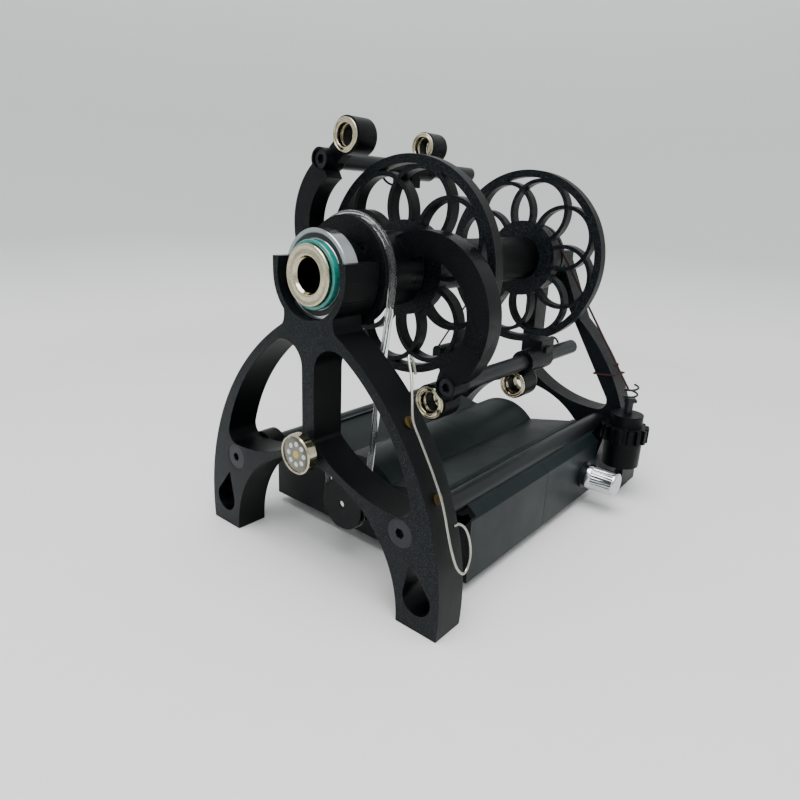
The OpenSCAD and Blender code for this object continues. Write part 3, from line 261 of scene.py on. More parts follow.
def printedPlastic(name, settings):
    # Filament print, laid down in layers: satin walls with fine lines, and a grainy face where it
    # lay on a textured build plate, with light specks painted in as the grain's glints
    material, tree, shader, place = newMaterial(
        name, {"IOR": settings["ior"], "Specular IOR Level": settings["gloss"]}, settings["wall"])
    axis = "XYZ".index(settings["layersAlong"])
    layer, grain = settings["layer"] * mm, settings["grain"] * mm
    split = addNode(tree, "ShaderNodeSeparateXYZ", links={0: place})
    # Real layers are 0.2 mm, under half a pixel, so they are drawn coarser to show
    lines = addNode(tree, "ShaderNodeMath", {"operation": "MULTIPLY", 1: 2 * math.pi / layer},
                    {0: split.outputs[axis]})
    lines = addNode(tree, "ShaderNodeMath", {"operation": "SINE"}, {0: lines.outputs[0]})
    stretch = [settings["runsPerMetre"]] * 3
    stretch[axis] = 1 / (layer * settings["layersPerRun"])
    runs = addNode(tree, "ShaderNodeMapping", {"Scale": stretch}, {"Vector": place})
    runs = addNode(tree, "ShaderNodeTexNoise", {"Scale": 1.0, "Detail": 2.0},
                   {"Vector": runs.outputs[0]})
    speckle = addNode(tree, "ShaderNodeTexNoise",
                      {"Scale": 1 / grain, "Detail": 2.0, "Roughness": 0.6}, {"Vector": place})
    clouds = addNode(tree, "ShaderNodeTexNoise",
                     {"Scale": settings["cloudsPerMetre"], "Detail": 3.0}, {"Vector": place})
    # 1 on faces that lay on the build plate, 0 on walls
    normal = addNode(tree, "ShaderNodeNewGeometry").outputs["Normal"]
    facing = addNode(tree, "ShaderNodeSeparateXYZ", links={0: normal})
    facing = addNode(tree, "ShaderNodeMath", {"operation": "ABSOLUTE"}, {0: facing.outputs[axis]})
    onPlate = addNode(tree, "ShaderNodeMapRange",
                      {1: settings["plateFrom"], 2: settings["plateTo"], 3: 0.0, 4: 1.0},
                      {0: facing.outputs[0]}).outputs[0]
    wall = addNode(tree, "ShaderNodeValToRGB", links={0: runs.outputs[0]}, stops=[
        (0.3, settings["wallLow"]), (0.72, settings["wall"])])
    # Plate faces: dark grain tones, and light specks that are painted glints of the grain
    plate = addNode(tree, "ShaderNodeValToRGB", links={0: speckle.outputs[0]}, stops=[
        (0.44, settings["plate"]), (0.54, settings["plateMid"]), (0.66, settings["grainGlintSpeck"])])
    colour = addNode(tree, "ShaderNodeMix", {"data_type": "RGBA"},
                     {0: onPlate, 6: wall.outputs[0], 7: plate.outputs[0]})
    tree.links.new(colour.outputs[2], shader.inputs["Base Color"])
    rough = addNode(tree, "ShaderNodeMapRange",
                    {**noiseSpan, 3: settings["rough"] - settings["shinier"],
                     4: settings["rough"] + settings["duller"]}, {0: clouds.outputs[0]})
    tree.links.new(rough.outputs[0], shader.inputs["Roughness"])
    edge = addNode(tree, "ShaderNodeBevel", {"samples": 4, "Radius": settings["edge"] * mm})
    layerBump = addNode(tree, "ShaderNodeBump", {"Strength": settings["layerStrength"],
                                                 "Distance": settings["layerDepth"] * mm},
                        {"Height": lines.outputs[0], "Normal": edge.outputs[0]})
    runBump = addNode(tree, "ShaderNodeBump", {"Strength": settings["runStrength"],
                                               "Distance": settings["runDepth"] * mm},
                      {"Height": runs.outputs[0], "Normal": layerBump.outputs[0]})
    plateHeight = addNode(tree, "ShaderNodeMath", {"operation": "MULTIPLY"},
                          {0: speckle.outputs[0], 1: onPlate})
    plateBump = addNode(tree, "ShaderNodeBump", {"Strength": settings["grainStrength"],
                                                 "Distance": grain * settings["grainDepth"]},
                        {"Height": plateHeight.outputs[0], "Normal": runBump.outputs[0]})
    tree.links.new(plateBump.outputs[0], shader.inputs["Normal"])
    return material


blackPrint = {
    **printBasics, "layersAlong": "Y", "layer": 0.45, "layerStrength": 0.35, "grain": 0.5,
    "rough": 0.34, "gloss": 0.12, "wall": "#05080a", "wallLow": "#020304", "plate": "#030506",
    "plateMid": "#090c0f", "grainGlintSpeck": "#2b3137",
}
# Black PETG, plate grain in front with painted glints, lines on the walls
framePrint = printedPlastic("petgPrintFrames", blackPrint)
flyerPrint = printedPlastic("petgPrintFlyer", {  # a smoother plate, so an even satin black
    **blackPrint, "rough": 0.3, "layer": 0.5, "layerStrength": 0.25, "plate": "#050607",
    "plateMid": "#090b0d", "grainGlintSpeck": "#1d2023",
})
flangePrint = printedPlastic("petgPrintFlanges", {  # coarse plate grain; its glitter is painted in as light specks
    **blackPrint, "wall": "#040607", "wallLow": "#020303", "grain": 0.55, "grainGlintSpeck": "#30373d",
})
whorlPrint = printedPlastic("petgPrintWhorl", {  # thick layers, seen as grooves
    **blackPrint, "rough": 0.3, "layer": 0.9, "layerStrength": 0.9, "plate": "#050608",
    "plateMid": "#0a0c0e", "grainGlintSpeck": "#181b1e",
})
uprightPrint = printedPlastic("petgPrintUpright", {  # printed standing, layers along Z
    **blackPrint, "layersAlong": "Z", "rough": 0.38, "grainGlintSpeck": "#181b1e",
})
basePrint = printedPlastic("plaPrintBase", {  # charcoal PLA, matt-satin, a little blue-green
    **printBasics, "layersAlong": "Y", "layer": 0.6, "layerStrength": 0.16, "grain": 0.5,
    "rough": 0.4, "gloss": 0.2, "runsPerMetre": 14, "wall": "#0a1517", "wallLow": "#070f11",
    "plate": "#060a0b", "plateMid": "#090e10", "grainGlintSpeck": "#121a1d",
})

metalBasics = {
    "metallic": 1.0, "edge": 0.15, "bump": 0.15, "bumpDepth": 0.04, "shinier": 0.75, "duller": 1.3,
}


def metal(name, given):
    # around: centre (x, z) in mm of turned brushing about Y; without it the finish is plain
    settings = {**metalBasics, **given}
    material, tree, shader, place = newMaterial(name, {"Metallic": settings["metallic"]},
                                                settings["colour"])
    if "around" in settings:
        x, z = settings["around"]
        moved = addNode(tree, "ShaderNodeMapping", {"Location": (-x * mm, 0, -z * mm)},
                        {"Vector": place})
        split = addNode(tree, "ShaderNodeSeparateXYZ", links={0: moved.outputs[0]})
        square = [addNode(tree, "ShaderNodeMath", {"operation": "MULTIPLY"},
                          {0: split.outputs[k], 1: split.outputs[k]}) for k in (0, 2)]
        radius = addNode(tree, "ShaderNodeMath", {"operation": "ADD"},
                         {0: square[0].outputs[0], 1: square[1].outputs[0]})
        radius = addNode(tree, "ShaderNodeMath", {"operation": "SQRT"}, {0: radius.outputs[0]})
        place = addNode(tree, "ShaderNodeCombineXYZ",
                        links={0: radius.outputs[0], 1: split.outputs[1]}).outputs[0]
    fine = addNode(tree, "ShaderNodeTexNoise",
                   {"Scale": 1 / (settings["grain"] * mm), "Detail": 3.0}, {"Vector": place})
    tone = addNode(tree, "ShaderNodeValToRGB", links={0: fine.outputs[0]}, stops=[
        (0.25, settings["low"]), (0.75, settings["colour"])])
    tree.links.new(tone.outputs[0], shader.inputs["Base Color"])
    rough = addNode(tree, "ShaderNodeMapRange",
                    {**noiseSpan, 3: settings["rough"] * settings["shinier"],
                     4: settings["rough"] * settings["duller"]}, {0: fine.outputs[0]})
    tree.links.new(rough.outputs[0], shader.inputs["Roughness"])
    edge = addNode(tree, "ShaderNodeBevel", {"samples": 4, "Radius": settings["edge"] * mm})
    bump = addNode(tree, "ShaderNodeBump",
                   {"Strength": settings["bump"], "Distance": settings["bumpDepth"] * mm},
                   {"Height": fine.outputs[0], "Normal": edge.outputs[0]})
    tree.links.new(bump.outputs[0], shader.inputs["Normal"])
    return material


groundSteel = metal("groundBearingSteel", {  # turned and ground, rings round the axis
    "colour": "#b4b7ba", "low": "#8b8f93", "rough": 0.17, "grain": 0.22, "around": (0, 0),
    "bump": 0.35,
})
polishedSteel = metal("polishedSteel", {  # lapped balls and ground shafts
    "colour": "#cfd2d4", "low": "#b9bcbf", "rough": 0.16, "grain": 0.4,
})
rolledNickel = metal("rolledNickelPlate", {  # warm bright nickel on stamped eyelets
    "colour": "#c9c0a8", "low": "#a39a82", "rough": 0.12, "grain": 0.9, "bump": 0.12,
})
springWire = metal("brightSpringWire", {  # drawn steel, a little warm
    "colour": "#b9b7b0", "low": "#8f8d86", "rough": 0.16, "grain": 0.5,
})
mirrorChrome = metal("mirrorChrome", {  # plated plastic, nearly a mirror
    "colour": "#d3d6d9", "low": "#c2c6ca", "rough": 0.06, "grain": 1.2, "bump": 0.03,
})
goldPlate = metal("goldPlate", {  # thin plating, coloured dark and dull
    "colour": "#6b5a38", "low": "#453a25", "rough": 0.34, "grain": 0.4,
})
satinBrass = metal("satinBrass", {  # turned bushes with a soft shine
    "colour": "#b9924c", "low": "#94713a", "rough": 0.35, "grain": 0.3,
})
zincPlate = metal("zincPlate", {  # pressed steel can, cool and dull
    "colour": "#a9adb0", "low": "#8f9396", "rough": 0.35, "grain": 0.8,
})
blackOxide = metal("blackOxideSteel", {  # oiled black socket screws
    "colour": "#34353a", "low": "#26272b", "rough": 0.34, "grain": 0.35, "metallic": 0.85,
    "bump": 0.25, "edge": 0.25,
})
satinTube = metal("satinGreyTube", {  # drawn tube, dark grey satin coat
    "colour": "#1a1d1f", "low": "#131617", "rough": 0.38, "grain": 0.6, "metallic": 0.5,
    "bump": 0.2, "edge": 0.3,
})

polymerBasics = {
    "ior": 1.5, "coat": 0.0, "coatRough": 0.08, "clear": 0.0, "bump": 0.15, "bumpDepth": 0.05,
    "shinier": 0.8, "duller": 1.2,
}


def polymer(name, given):
    # Smooth moulded or turned plastic, rubber or coating
    settings = {**polymerBasics, **given}
    material, tree, shader, place = newMaterial(name, {
        "IOR": settings["ior"], "Coat Weight": settings["coat"],
        "Coat Roughness": settings["coatRough"], "Transmission Weight": settings["clear"],
    }, settings["colour"])
    mottle = addNode(tree, "ShaderNodeTexNoise",
                     {"Scale": 1 / (settings["grain"] * mm), "Detail": 3.0}, {"Vector": place})
    tone = addNode(tree, "ShaderNodeValToRGB", links={0: mottle.outputs[0]}, stops=[
        (0.3, settings["low"]), (0.7, settings["colour"])])
    tree.links.new(tone.outputs[0], shader.inputs["Base Color"])
    rough = addNode(tree, "ShaderNodeMapRange",
                    {**noiseSpan, 3: settings["rough"] * settings["shinier"],
                     4: settings["rough"] * settings["duller"]}, {0: mottle.outputs[0]})
    tree.links.new(rough.outputs[0], shader.inputs["Roughness"])
    bump = addNode(tree, "ShaderNodeBump",
                   {"Strength": settings["bump"], "Distance": settings["bumpDepth"] * mm},
                   {"Height": mottle.outputs[0]})
    tree.links.new(bump.outputs[0], shader.inputs["Normal"])
    return material


tealGloss = polymer("glossyTealPlastic", {  # polished acetal, wet-looking
    "colour": "#0c7a6f", "low": "#0a655d", "rough": 0.16, "grain": 1.5, "coat": 0.6,
})
sealRubber = polymer("nitrileSeal", {  # moulded rubber, matt
    "colour": "#0c0c0d", "low": "#070708", "rough": 0.55, "grain": 0.25, "bump": 0.4,
})
moulded = polymer("mouldedNylon", {  # glass-filled, grey-black satin
    "colour": "#131416", "low": "#0d0e0f", "rough": 0.4, "grain": 0.5,
})
solderMask = polymer("solderMask", {  # green lacquer over the board
    "colour": "#1b6a42", "low": "#144f31", "rough": 0.25, "grain": 2.0, "coat": 0.4,
})
clearUrethane = polymer("clearUrethane", {  # welded round belting, glassy with a soft haze
    "colour": "#f4f8f7", "low": "#e3eae9", "rough": 0.1, "grain": 2.2, "clear": 1.0, "ior": 1.45,
    "bump": 0.3,
})
domeGlass = polymer("domeGlass", {  # thin, so it bends light less than solid glass
    "colour": "#ffffff", "low": "#f6f7f5", "rough": 0.02, "grain": 6.0, "clear": 1.0, "ior": 1.3,
    "bump": 0.0,
})
cordFibre = polymer("twistedRedCord", {  # dyed cotton, dull and fuzzy
    "colour": "#3a1112", "low": "#1d0908", "rough": 0.8, "grain": 0.3, "bump": 0.8,
})

paint(framePrint, "front_frame", "rear_frame")
paint(flyerPrint, "flyer_yoke", "orifice_tube", "shaft_spacer", "upper_guide", "lower_guide",
      "motor_pulley")
paint(whorlPrint, "drive_whorl")
paint(flangePrint, "bobbin_front_flange", "bobbin_rear_flange", "bobbin_core", "brake_whorl")
paint(basePrint, "base_front_shell", "base_rear_shell", "base_cover")
paint(uprightPrint, "tension_housing", "tension_wheel", "cord_anchor")
paint(satinTube, "left_rail", "right_rail", "upper_rod", "lower_rod")
paint(blackOxide, "frame_screws", "small_screws", "whorl_screws", "rod_screws", "tension_rod",
      "pot_nut")
paint(groundSteel, "rear_bearing_outer", "rear_bearing_inner")
paint(polishedSteel, "front_bearing_balls", "rear_bearing_balls", "flyer_shaft", "motor_shaft",
      "pot_shaft")
paint(sealRubber, "bearing_seals")
paint(rolledNickel, "badge_cup")
paint(goldPlate, "hook_magnets")
paint(satinBrass, "bobbin_bushes")
paint(solderMask, "control_board")
paint(zincPlate, "motor_can")
paint(moulded, "speed_pot", "power_jack")
paint(domeGlass, "badge_dome")
print("materials made")

# Orifice, teal sleeve and front bearing

eyelet = {
    "hole": 7.0, "rim": 12.7, "thick": 1.9, "barrel": 8.98, "length": 12.0, "throat": 1.4,
    "bead": 1.0, "beadOut": 1.6, "lip": 0.95, "dish": ((10.1, 0.42), (10.7, 0.38), (11.2, 0.25)),
    "fillet": (0.6, 0.1), "segments": 144,
}


def eyeletProfile(size):
    # Rolled flange: a round bead at the mouth, a shallow dish, a round outer lip
    bead = (size["hole"] + size["beadOut"], size["bead"])
    lip = (size["rim"] - size["lip"], size["lip"])
    inside = [(size["hole"], size["length"]), (size["hole"], size["throat"])]
    mouth = roundCorner(bead, size["bead"], 200, 300)
    outer = roundCorner(lip, size["lip"], 268, 450, 14)
    back = [(size["barrel"] + size["fillet"][0], size["thick"]),
            (size["barrel"], size["thick"] + size["fillet"][1]), (size["barrel"], size["length"])]
    return inside + mouth + list(size["dish"]) + outer + back


piece = lathe("orificeEyelet", eyeletProfile(eyelet), (0, 0, 0), rolledNickel, eyelet["segments"])
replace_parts(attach(piece, "flyer"), "orifice_eyelet")

sleeve = {
    "inner": 12.52, "outer": 14.2, "front": 1.95, "back": 4.88, "chamfer": 0.25, "corner": 0.8,
    "segments": 144,
}
profile = [(sleeve["inner"], sleeve["back"]),
           (sleeve["inner"], sleeve["front"] + sleeve["chamfer"]),
           (sleeve["inner"] + sleeve["chamfer"], sleeve["front"])]
profile += roundCorner((sleeve["outer"] - sleeve["corner"], sleeve["front"] + sleeve["corner"]),
                       sleeve["corner"], 270, 360)
profile += [(sleeve["outer"], sleeve["back"])]
piece = lathe("tealSleeve", profile, (0, 0, 0), tealGloss, sleeve["segments"])
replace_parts(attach(piece, "flyer"), "teal_sleeve")

races = {
    "front": 4.9, "back": 11.9, "outer": (16.4, 18.5), "outerChamfer": 0.35, "outerSegments": 160,
    "inner": (12.52, 14.6), "innerChamfer": 0.25, "innerSegments": 144,
}


def raceProfile(size, ring):
    inner, outer = size[ring]
    front, back, chamfer = size["front"], size["back"], size[ring + "Chamfer"]
    return [(inner, front + chamfer), (inner + chamfer, front), (outer - chamfer, front),
            (outer, front + chamfer), (outer, back - chamfer), (outer - chamfer, back),
            (inner + chamfer, back), (inner, back - chamfer)]


piece = lathe("frontOuterRace", raceProfile(races, "outer"), (0, 0, 0), groundSteel,
              races["outerSegments"])
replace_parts(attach(piece, "stand"), "front_bearing_outer")
piece = lathe("frontInnerRace", raceProfile(races, "inner"), (0, 0, 0), groundSteel,
              races["innerSegments"])
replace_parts(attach(piece, "flyer"), "front_bearing_inner")

# Ring grommets, repeated by geometry nodes

grommet = {
    "hole": 4.9, "rim": 7.3, "fixedRim": 7.8, "barrel": 5.58, "back": 2.9, "segments": 72,
    "washer": (1.2, 1.9), "washerGroove": (1.35, 1.75), "grooveDepth": 0.34,
}


def grommetProfile(size, rim):
    # Stamped eyelet: rolled rim, coned throat, and a washer's edge showing inside
    hole, deep = size["hole"], size["hole"] + size["grooveDepth"]
    (near, far), (grooveNear, grooveFar) = size["washer"], size["washerGroove"]
    profile = [(hole, size["back"]), (hole, far), (deep, grooveFar), (deep, grooveNear),
               (hole, near), (hole, 0.55), (hole + 0.25, 0.1), (hole + 0.25, -0.1)]
    profile += roundCorner((hole + 0.72, -0.62), 0.5, 190, 290, 7)
    profile += [(hole + 1.35, -0.86), (rim - 1.0, -0.8)]
    profile += roundCorner((rim - 0.55, -0.6), 0.55, 235, 450, 12)
    return profile + [(size["barrel"], -0.05), (size["barrel"], size["back"])]


def newTree(name, sockets):
    # A geometry node tree with its named inputs; endTree gives it the material Finish
    tree = bpy.data.node_groups.new(name, "GeometryNodeTree")
    for label, kind in {"Geometry": "Geometry", **sockets, "Finish": "Material"}.items():
        tree.interface.new_socket(label, in_out="INPUT", socket_type="NodeSocket" + kind)
    tree.interface.new_socket("Geometry", in_out="OUTPUT", socket_type="NodeSocketGeometry")
    return tree, addNode(tree, "NodeGroupInput")


def endTree(tree, given, shape):
    real = addNode(tree, "GeometryNodeRealizeInstances", links={0: shape})
    finished = addNode(tree, "GeometryNodeSetMaterial", links={
        "Geometry": real.outputs[0], "Material": given.outputs["Finish"]})
    addNode(tree, "NodeGroupOutput", links={0: finished.outputs[0]})
    return tree


def grommetTree():
    tree, given = newTree("grommetPlaces", {"Eyelet": "Object"})
    shape = addNode(tree, "GeometryNodeObjectInfo", links={"Object": given.outputs["Eyelet"]})
    turned = addNode(tree, "GeometryNodeInputNamedAttribute",
                     {"data_type": "FLOAT", "Name": "turned"})
    angle = addNode(tree, "ShaderNodeMath", {"operation": "MULTIPLY", 1: math.pi},
                    {0: turned.outputs[0]})
    turn = addNode(tree, "ShaderNodeCombineXYZ", links={2: angle.outputs[0]})
    placed = addNode(tree, "GeometryNodeInstanceOnPoints", links={
        "Points": given.outputs["Geometry"], "Instance": shape.outputs["Geometry"],
        "Rotation": turn.outputs[0]})
    return endTree(tree, given, placed.outputs[0])


grommets = grommetTree()


def placeGrommets(name, rim, rings, body, node):
    # rings: x, z and both end faces' y in mm
    master = lathe(name + "Master", grommetProfile(grommet, rim), (0, 0, 0), rolledNickel,
                   grommet["segments"])
    ends = [((x, y, z), side) for x, z, front, back in rings
            for y, side in ((front, 0.0), (back, 1.0))]
    source = wireSource(name + "Places", [p for p, side in ends])
    source.data.attributes.new("turned", "FLOAT", "POINT").data.foreach_set(
        "value", [side for p, side in ends])
    piece = fromTree(name, source, grommets, {"Eyelet": master, "Finish": rolledNickel},
                     rolledNickel)
    bpy.data.objects.remove(master)
    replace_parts(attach(piece, body), node)


placeGrommets("fixedRingGrommets", grommet["fixedRim"],
              [(28.5, -57.7, 50, 62), (-28.5, 57.7, 50, 62)], "flyer", "fixed_ring_grommets")
placeGrommets("upperGuideGrommets", grommet["rim"], [(-37.8, 58.7, 119.4, 131.4)],
              "upper_ring_guide", "upper_guide_grommets")
placeGrommets("lowerGuideGrommets", grommet["rim"], [(37.8, -58.7, 109.5, 121.5)],
              "lower_ring_guide", "lower_guide_grommets")
print("eyelets and bearing rings made")

# Drive band: welded clear belting

band = {
    "plane": 25.5, "radius": 1.6, "topRun": 24.0, "lowRun": 11.7, "lowCentre": -110.0,
    "weldAt": 13.0, "weldRise": 0.5, "weldWidth": 1.5,
    "topSteps": 72, "lowSteps": 48, "leftSteps": 12, "rightSteps": 60, "sides": 28,
}


def bandRoute(size):
    tilt = math.asin((size["lowRun"] - size["topRun"]) / -size["lowCentre"])
    top, low, left, right = (size[k + "Steps"] for k in ("top", "low", "left", "right"))
    over, under = [], []
    for k in range(top + 1):
        angle = tilt + (math.pi - 2 * tilt) * k / top
        over.append(Vector((size["topRun"] * math.cos(angle), size["plane"],
                            size["topRun"] * math.sin(angle))))
    for k in range(low + 1):
        angle = math.pi - tilt + (math.pi + 2 * tilt) * k / low
        under.append(Vector((size["lowRun"] * math.cos(angle), size["plane"],
                             size["lowCentre"] + size["lowRun"] * math.sin(angle))))
    start, end = under[-1], over[0]
    # The right strand runs up from the pulley, in short steps for the weld on it
    weld = end + (start - end).normalized() * size["weldAt"]
    down = [over[-1] + (under[0] - over[-1]) * k / left for k in range(1, left)]
    up = [start + (end - start) * k / right for k in range(1, right)]
    return over + down + under + up, weld


route, weld = bandRoute(band)


def bandRadius(i, angle):
    # The melt stands out round the weld as uneven lips
    away = (route[i] - weld).length
    swell = math.exp(-(away / band["weldWidth"]) ** 2)
    lips = (0.35 * math.cos(2 * angle + 0.6) + 0.22 * math.cos(5 * angle + away)
            + 0.15 * math.sin(9 * angle))
    return band["radius"] + band["weldRise"] * swell * (0.55 + lips)


piece = sweep("clearDriveBand", route, bandRadius, band["sides"], clearUrethane, closed=True,
              sharpAngle=80)
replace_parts(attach(piece, "stand"), "drive_band")

# Cords: plies laid up by geometry nodes

cord = {
    "ply": 0.36, "lay": 0.32, "pitch": 3.4, "plies": 3, "pitchSteps": 10, "sides": 7,
    "plane": 186.0, "runRadius": 19.3, "anchor": (-66.5, -68.0), "split": (39.895, -23.343),
    "hook": (72.2, -69.5), "whorlSteps": 48, "tailSteps": 20,
}


def cordTree(size):
    tree, given = newTree("laidCord", {"Ply Radius": "Float", "Lay Radius": "Float",
                                       "Pitch": "Float"})
    line = addNode(tree, "GeometryNodeMeshToCurve", links={0: given.outputs["Geometry"]})
    step = addNode(tree, "ShaderNodeMath", {"operation": "DIVIDE", 1: size["pitchSteps"]},
                   {0: given.outputs["Pitch"]})
    line = addNode(tree, "GeometryNodeResampleCurve", {"mode": "LENGTH"},
                   {"Curve": line.outputs[0], "Length": step.outputs[0]})
    plies = addNode(tree, "GeometryNodeDuplicateElements",
                    {"domain": "SPLINE", "Amount": size["plies"]}, {"Geometry": line.outputs[0]})
    # Each ply winds about the line, one turn in each pitch, a third of a turn from the next
    along = addNode(tree, "GeometryNodeSplineParameter").outputs["Length"]
    turns = addNode(tree, "ShaderNodeMath", {"operation": "DIVIDE"},
                    {0: along, 1: given.outputs["Pitch"]})
    share = addNode(tree, "ShaderNodeMath", {"operation": "DIVIDE", 1: size["plies"]},
                    {0: plies.outputs["Duplicate Index"]})
    turns = addNode(tree, "ShaderNodeMath", {"operation": "ADD"},
                    {0: turns.outputs[0], 1: share.outputs[0]})
    angle = addNode(tree, "ShaderNodeMath", {"operation": "MULTIPLY", 1: 2 * math.pi},
                    {0: turns.outputs[0]})
    tangent = addNode(tree, "GeometryNodeInputTangent").outputs[0]
    normal = addNode(tree, "GeometryNodeInputNormal").outputs[0]
    side = addNode(tree, "ShaderNodeVectorMath", {"operation": "CROSS_PRODUCT"},
                   {0: tangent, 1: normal})
    parts = []
    for wave, way in (("COSINE", normal), ("SINE", side.outputs[0])):
        much = addNode(tree, "ShaderNodeMath", {"operation": wave}, {0: angle.outputs[0]})
        much = addNode(tree, "ShaderNodeMath", {"operation": "MULTIPLY"},
                       {0: much.outputs[0], 1: given.outputs["Lay Radius"]})
        parts.append(addNode(tree, "ShaderNodeVectorMath", {"operation": "SCALE"},
                             {0: way, "Scale": much.outputs[0]}).outputs[0])
    offset = addNode(tree, "ShaderNodeVectorMath", {"operation": "ADD"}, dict(enumerate(parts)))
    moved = addNode(tree, "GeometryNodeSetPosition", links={
        "Geometry": plies.outputs[0], "Offset": offset.outputs[0]})
    ring = addNode(tree, "GeometryNodeCurvePrimitiveCircle", {"Resolution": size["sides"]},
                   {"Radius": given.outputs["Ply Radius"]})
    tube = addNode(tree, "GeometryNodeCurveToMesh", {"Fill Caps": True},
                   {"Curve": moved.outputs[0], "Profile Curve": ring.outputs[0]})
    return endTree(tree, given, tube.outputs[0])


laidCord = cordTree(cord)


def layCord(name, points, size, closed=False):
    inputs = {"Ply Radius": size["ply"] * mm, "Lay Radius": size["lay"] * mm,
              "Pitch": size["pitch"] * mm, "Finish": cordFibre}
    piece = fromTree(name, wireSource(name + "Line", points, closed), laidCord, inputs, cordFibre)
    for polygon in piece.data.polygons:
        polygon.use_smooth = True
    return piece


def inCordPlane(x, z):
    return Vector((x, cord["plane"], z))


def onWhorl(angle):
    return inCordPlane(cord["runRadius"] * math.cos(angle), cord["runRadius"] * math.sin(angle))


def tangentAngle(point, side):
    return math.atan2(point[1], point[0]) + side * math.acos(cord["runRadius"] / math.hypot(*point))


splitPoint = inCordPlane(*cord["split"])
hookPoint = inCordPlane(*cord["hook"])
rightAngle = tangentAngle(cord["hook"], 1)
leftAngle = tangentAngle(cord["anchor"], -1) + 2 * math.pi
brakeRoute = [inCordPlane(*cord["anchor"])]
brakeRoute += [onWhorl(leftAngle + (rightAngle - leftAngle) * k / cord["whorlSteps"])
               for k in range(cord["whorlSteps"] + 1)]
brakeRoute += [splitPoint]
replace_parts(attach(layCord("brakeCord", brakeRoute, cord), "stand"), "brake_cord")

tailRoute = [splitPoint + (hookPoint - splitPoint) * k / cord["tailSteps"]
             for k in range(cord["tailSteps"] + 1)]
tail = layCord("brakeCordTail", tailRoute, cord)

knot = {
    "at": 0.72,  # of the way from the split to the hook
    "size": 0.42, "thick": 0.42, "third": 0.8, "along": 1.1, "steps": 72, "sides": 8,
}


def knotRoute(centre, along, size):
    # Overhand knot: a trefoil pulled tight about the cord
    side = along.cross(Vector((0, 1, 0))).normalized()
    third = along.cross(side)
    made = []
    for k in range(size["steps"]):
        t = 2 * math.pi * k / size["steps"]
        a = math.sin(t) + 2 * math.sin(2 * t)
        b = math.cos(t) - 2 * math.cos(2 * t)
        c = -math.sin(3 * t)
        made.append(centre + size["size"] * (a * side + b * third * size["third"]
                                             + c * along * size["along"]))
    return made


cordWay = (hookPoint - splitPoint).normalized()
piece = sweep("brakeCordKnot", knotRoute(splitPoint.lerp(hookPoint, knot["at"]), cordWay, knot),
              lambda i, angle: knot["thick"], knot["sides"], cordFibre, closed=True, sharpAngle=80)
for soft in (tail, piece):
    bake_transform(soft)
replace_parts(tail, "brake_cord_end")

keeper = {
    "ply": 0.27, "lay": 0.24, "pitch": 2.6, "steps": 8,
    "route": [(47.4, 195, -66.2), (47.9, 191.8, -66), (52, 191.2, -65.6), (58, 191.2, -65),
              (60.8, 191.8, -64.8), (61.6, 195, -64.8), (61.4, 200, -65.2), (61, 206, -65.6),
              (60.2, 208.2, -65.8), (54, 208.4, -66), (48, 208.2, -66.4), (47.2, 206, -66.4),
              (47, 200, -66.4)],
}
keeperRoute = curvePoints(keeper["route"], keeper["steps"], closed=True)
piece = layCord("legKeeper", keeperRoute, keeper, closed=True)
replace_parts(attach(piece, "stand"), "cord_keeper")

# Wires: threading hook and the tensioner's ring

hookWire = {
    "radius": 0.6, "steps": 6, "sides": 12,
    # From the small eye at the top, down the leg's edge, to the open bight at the foot
    "route": [(42, 20.5, -36), (40.6, 20.4, -31), (39.6, 19.2, -28.6), (40, 18.2, -29.6),
              (44.4, 15, -36), (48, 11.4, -43.6), (51.1, 8.6, -50.5), (55.4, 8, -57),
              (59.5, 8, -63.8), (63.4, 8, -70.6), (67, 8, -77.7), (69.6, 7.8, -84.5),
              (72, 7.4, -91.5), (74.6, 7, -98), (76.6, 8, -104), (77.6, 11, -107.6),
              (77.6, 14, -106.8), (77, 16.6, -102), (75.6, 17.4, -96.5), (74, 16.2, -91.4),
              (72.8, 13.4, -88.6), (72.2, 10.6, -88.6)],
}
piece = sweep("threadingHook", curvePoints(hookWire["route"], hookWire["steps"]),
              lambda i, angle: hookWire["radius"], hookWire["sides"], springWire)
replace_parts(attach(piece, "yarn_threader"), "threading_hook")

ringWire = {
    "radius": 0.6, "axis": (74.0, 186.0), "low": -76.4, "loop": 3.7, "pitch": 4.2, "turns": 2.25,
    "turnSteps": 48, "sides": 12,
}
coil = []
for k in range(int(ringWire["turns"] * ringWire["turnSteps"]) + 1):
    turns = k / ringWire["turnSteps"]
    coil.append(Vector((ringWire["axis"][0] + ringWire["loop"] * math.cos(2 * math.pi * turns),
                        ringWire["axis"][1] + ringWire["loop"] * math.sin(2 * math.pi * turns),
                        ringWire["low"] + ringWire["pitch"] * turns)))
piece = sweep("tensionRing", coil, lambda i, angle: ringWire["radius"], ringWire["sides"],
              blackOxide)
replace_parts(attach(piece, "cord_hook"), "hook_ring")
print("band, cords and wires made")

# Speed knob: fluted, chromed

knob = {
    "centre": (157, -117.5), "from": 67.3, "flange": 7.2, "body": 6.75, "length": 17.0,
    "shaft": 3.02, "bore": 13, "flutes": 24, "depth": 0.28, "fluteShape": 0.8, "around": 192,
}


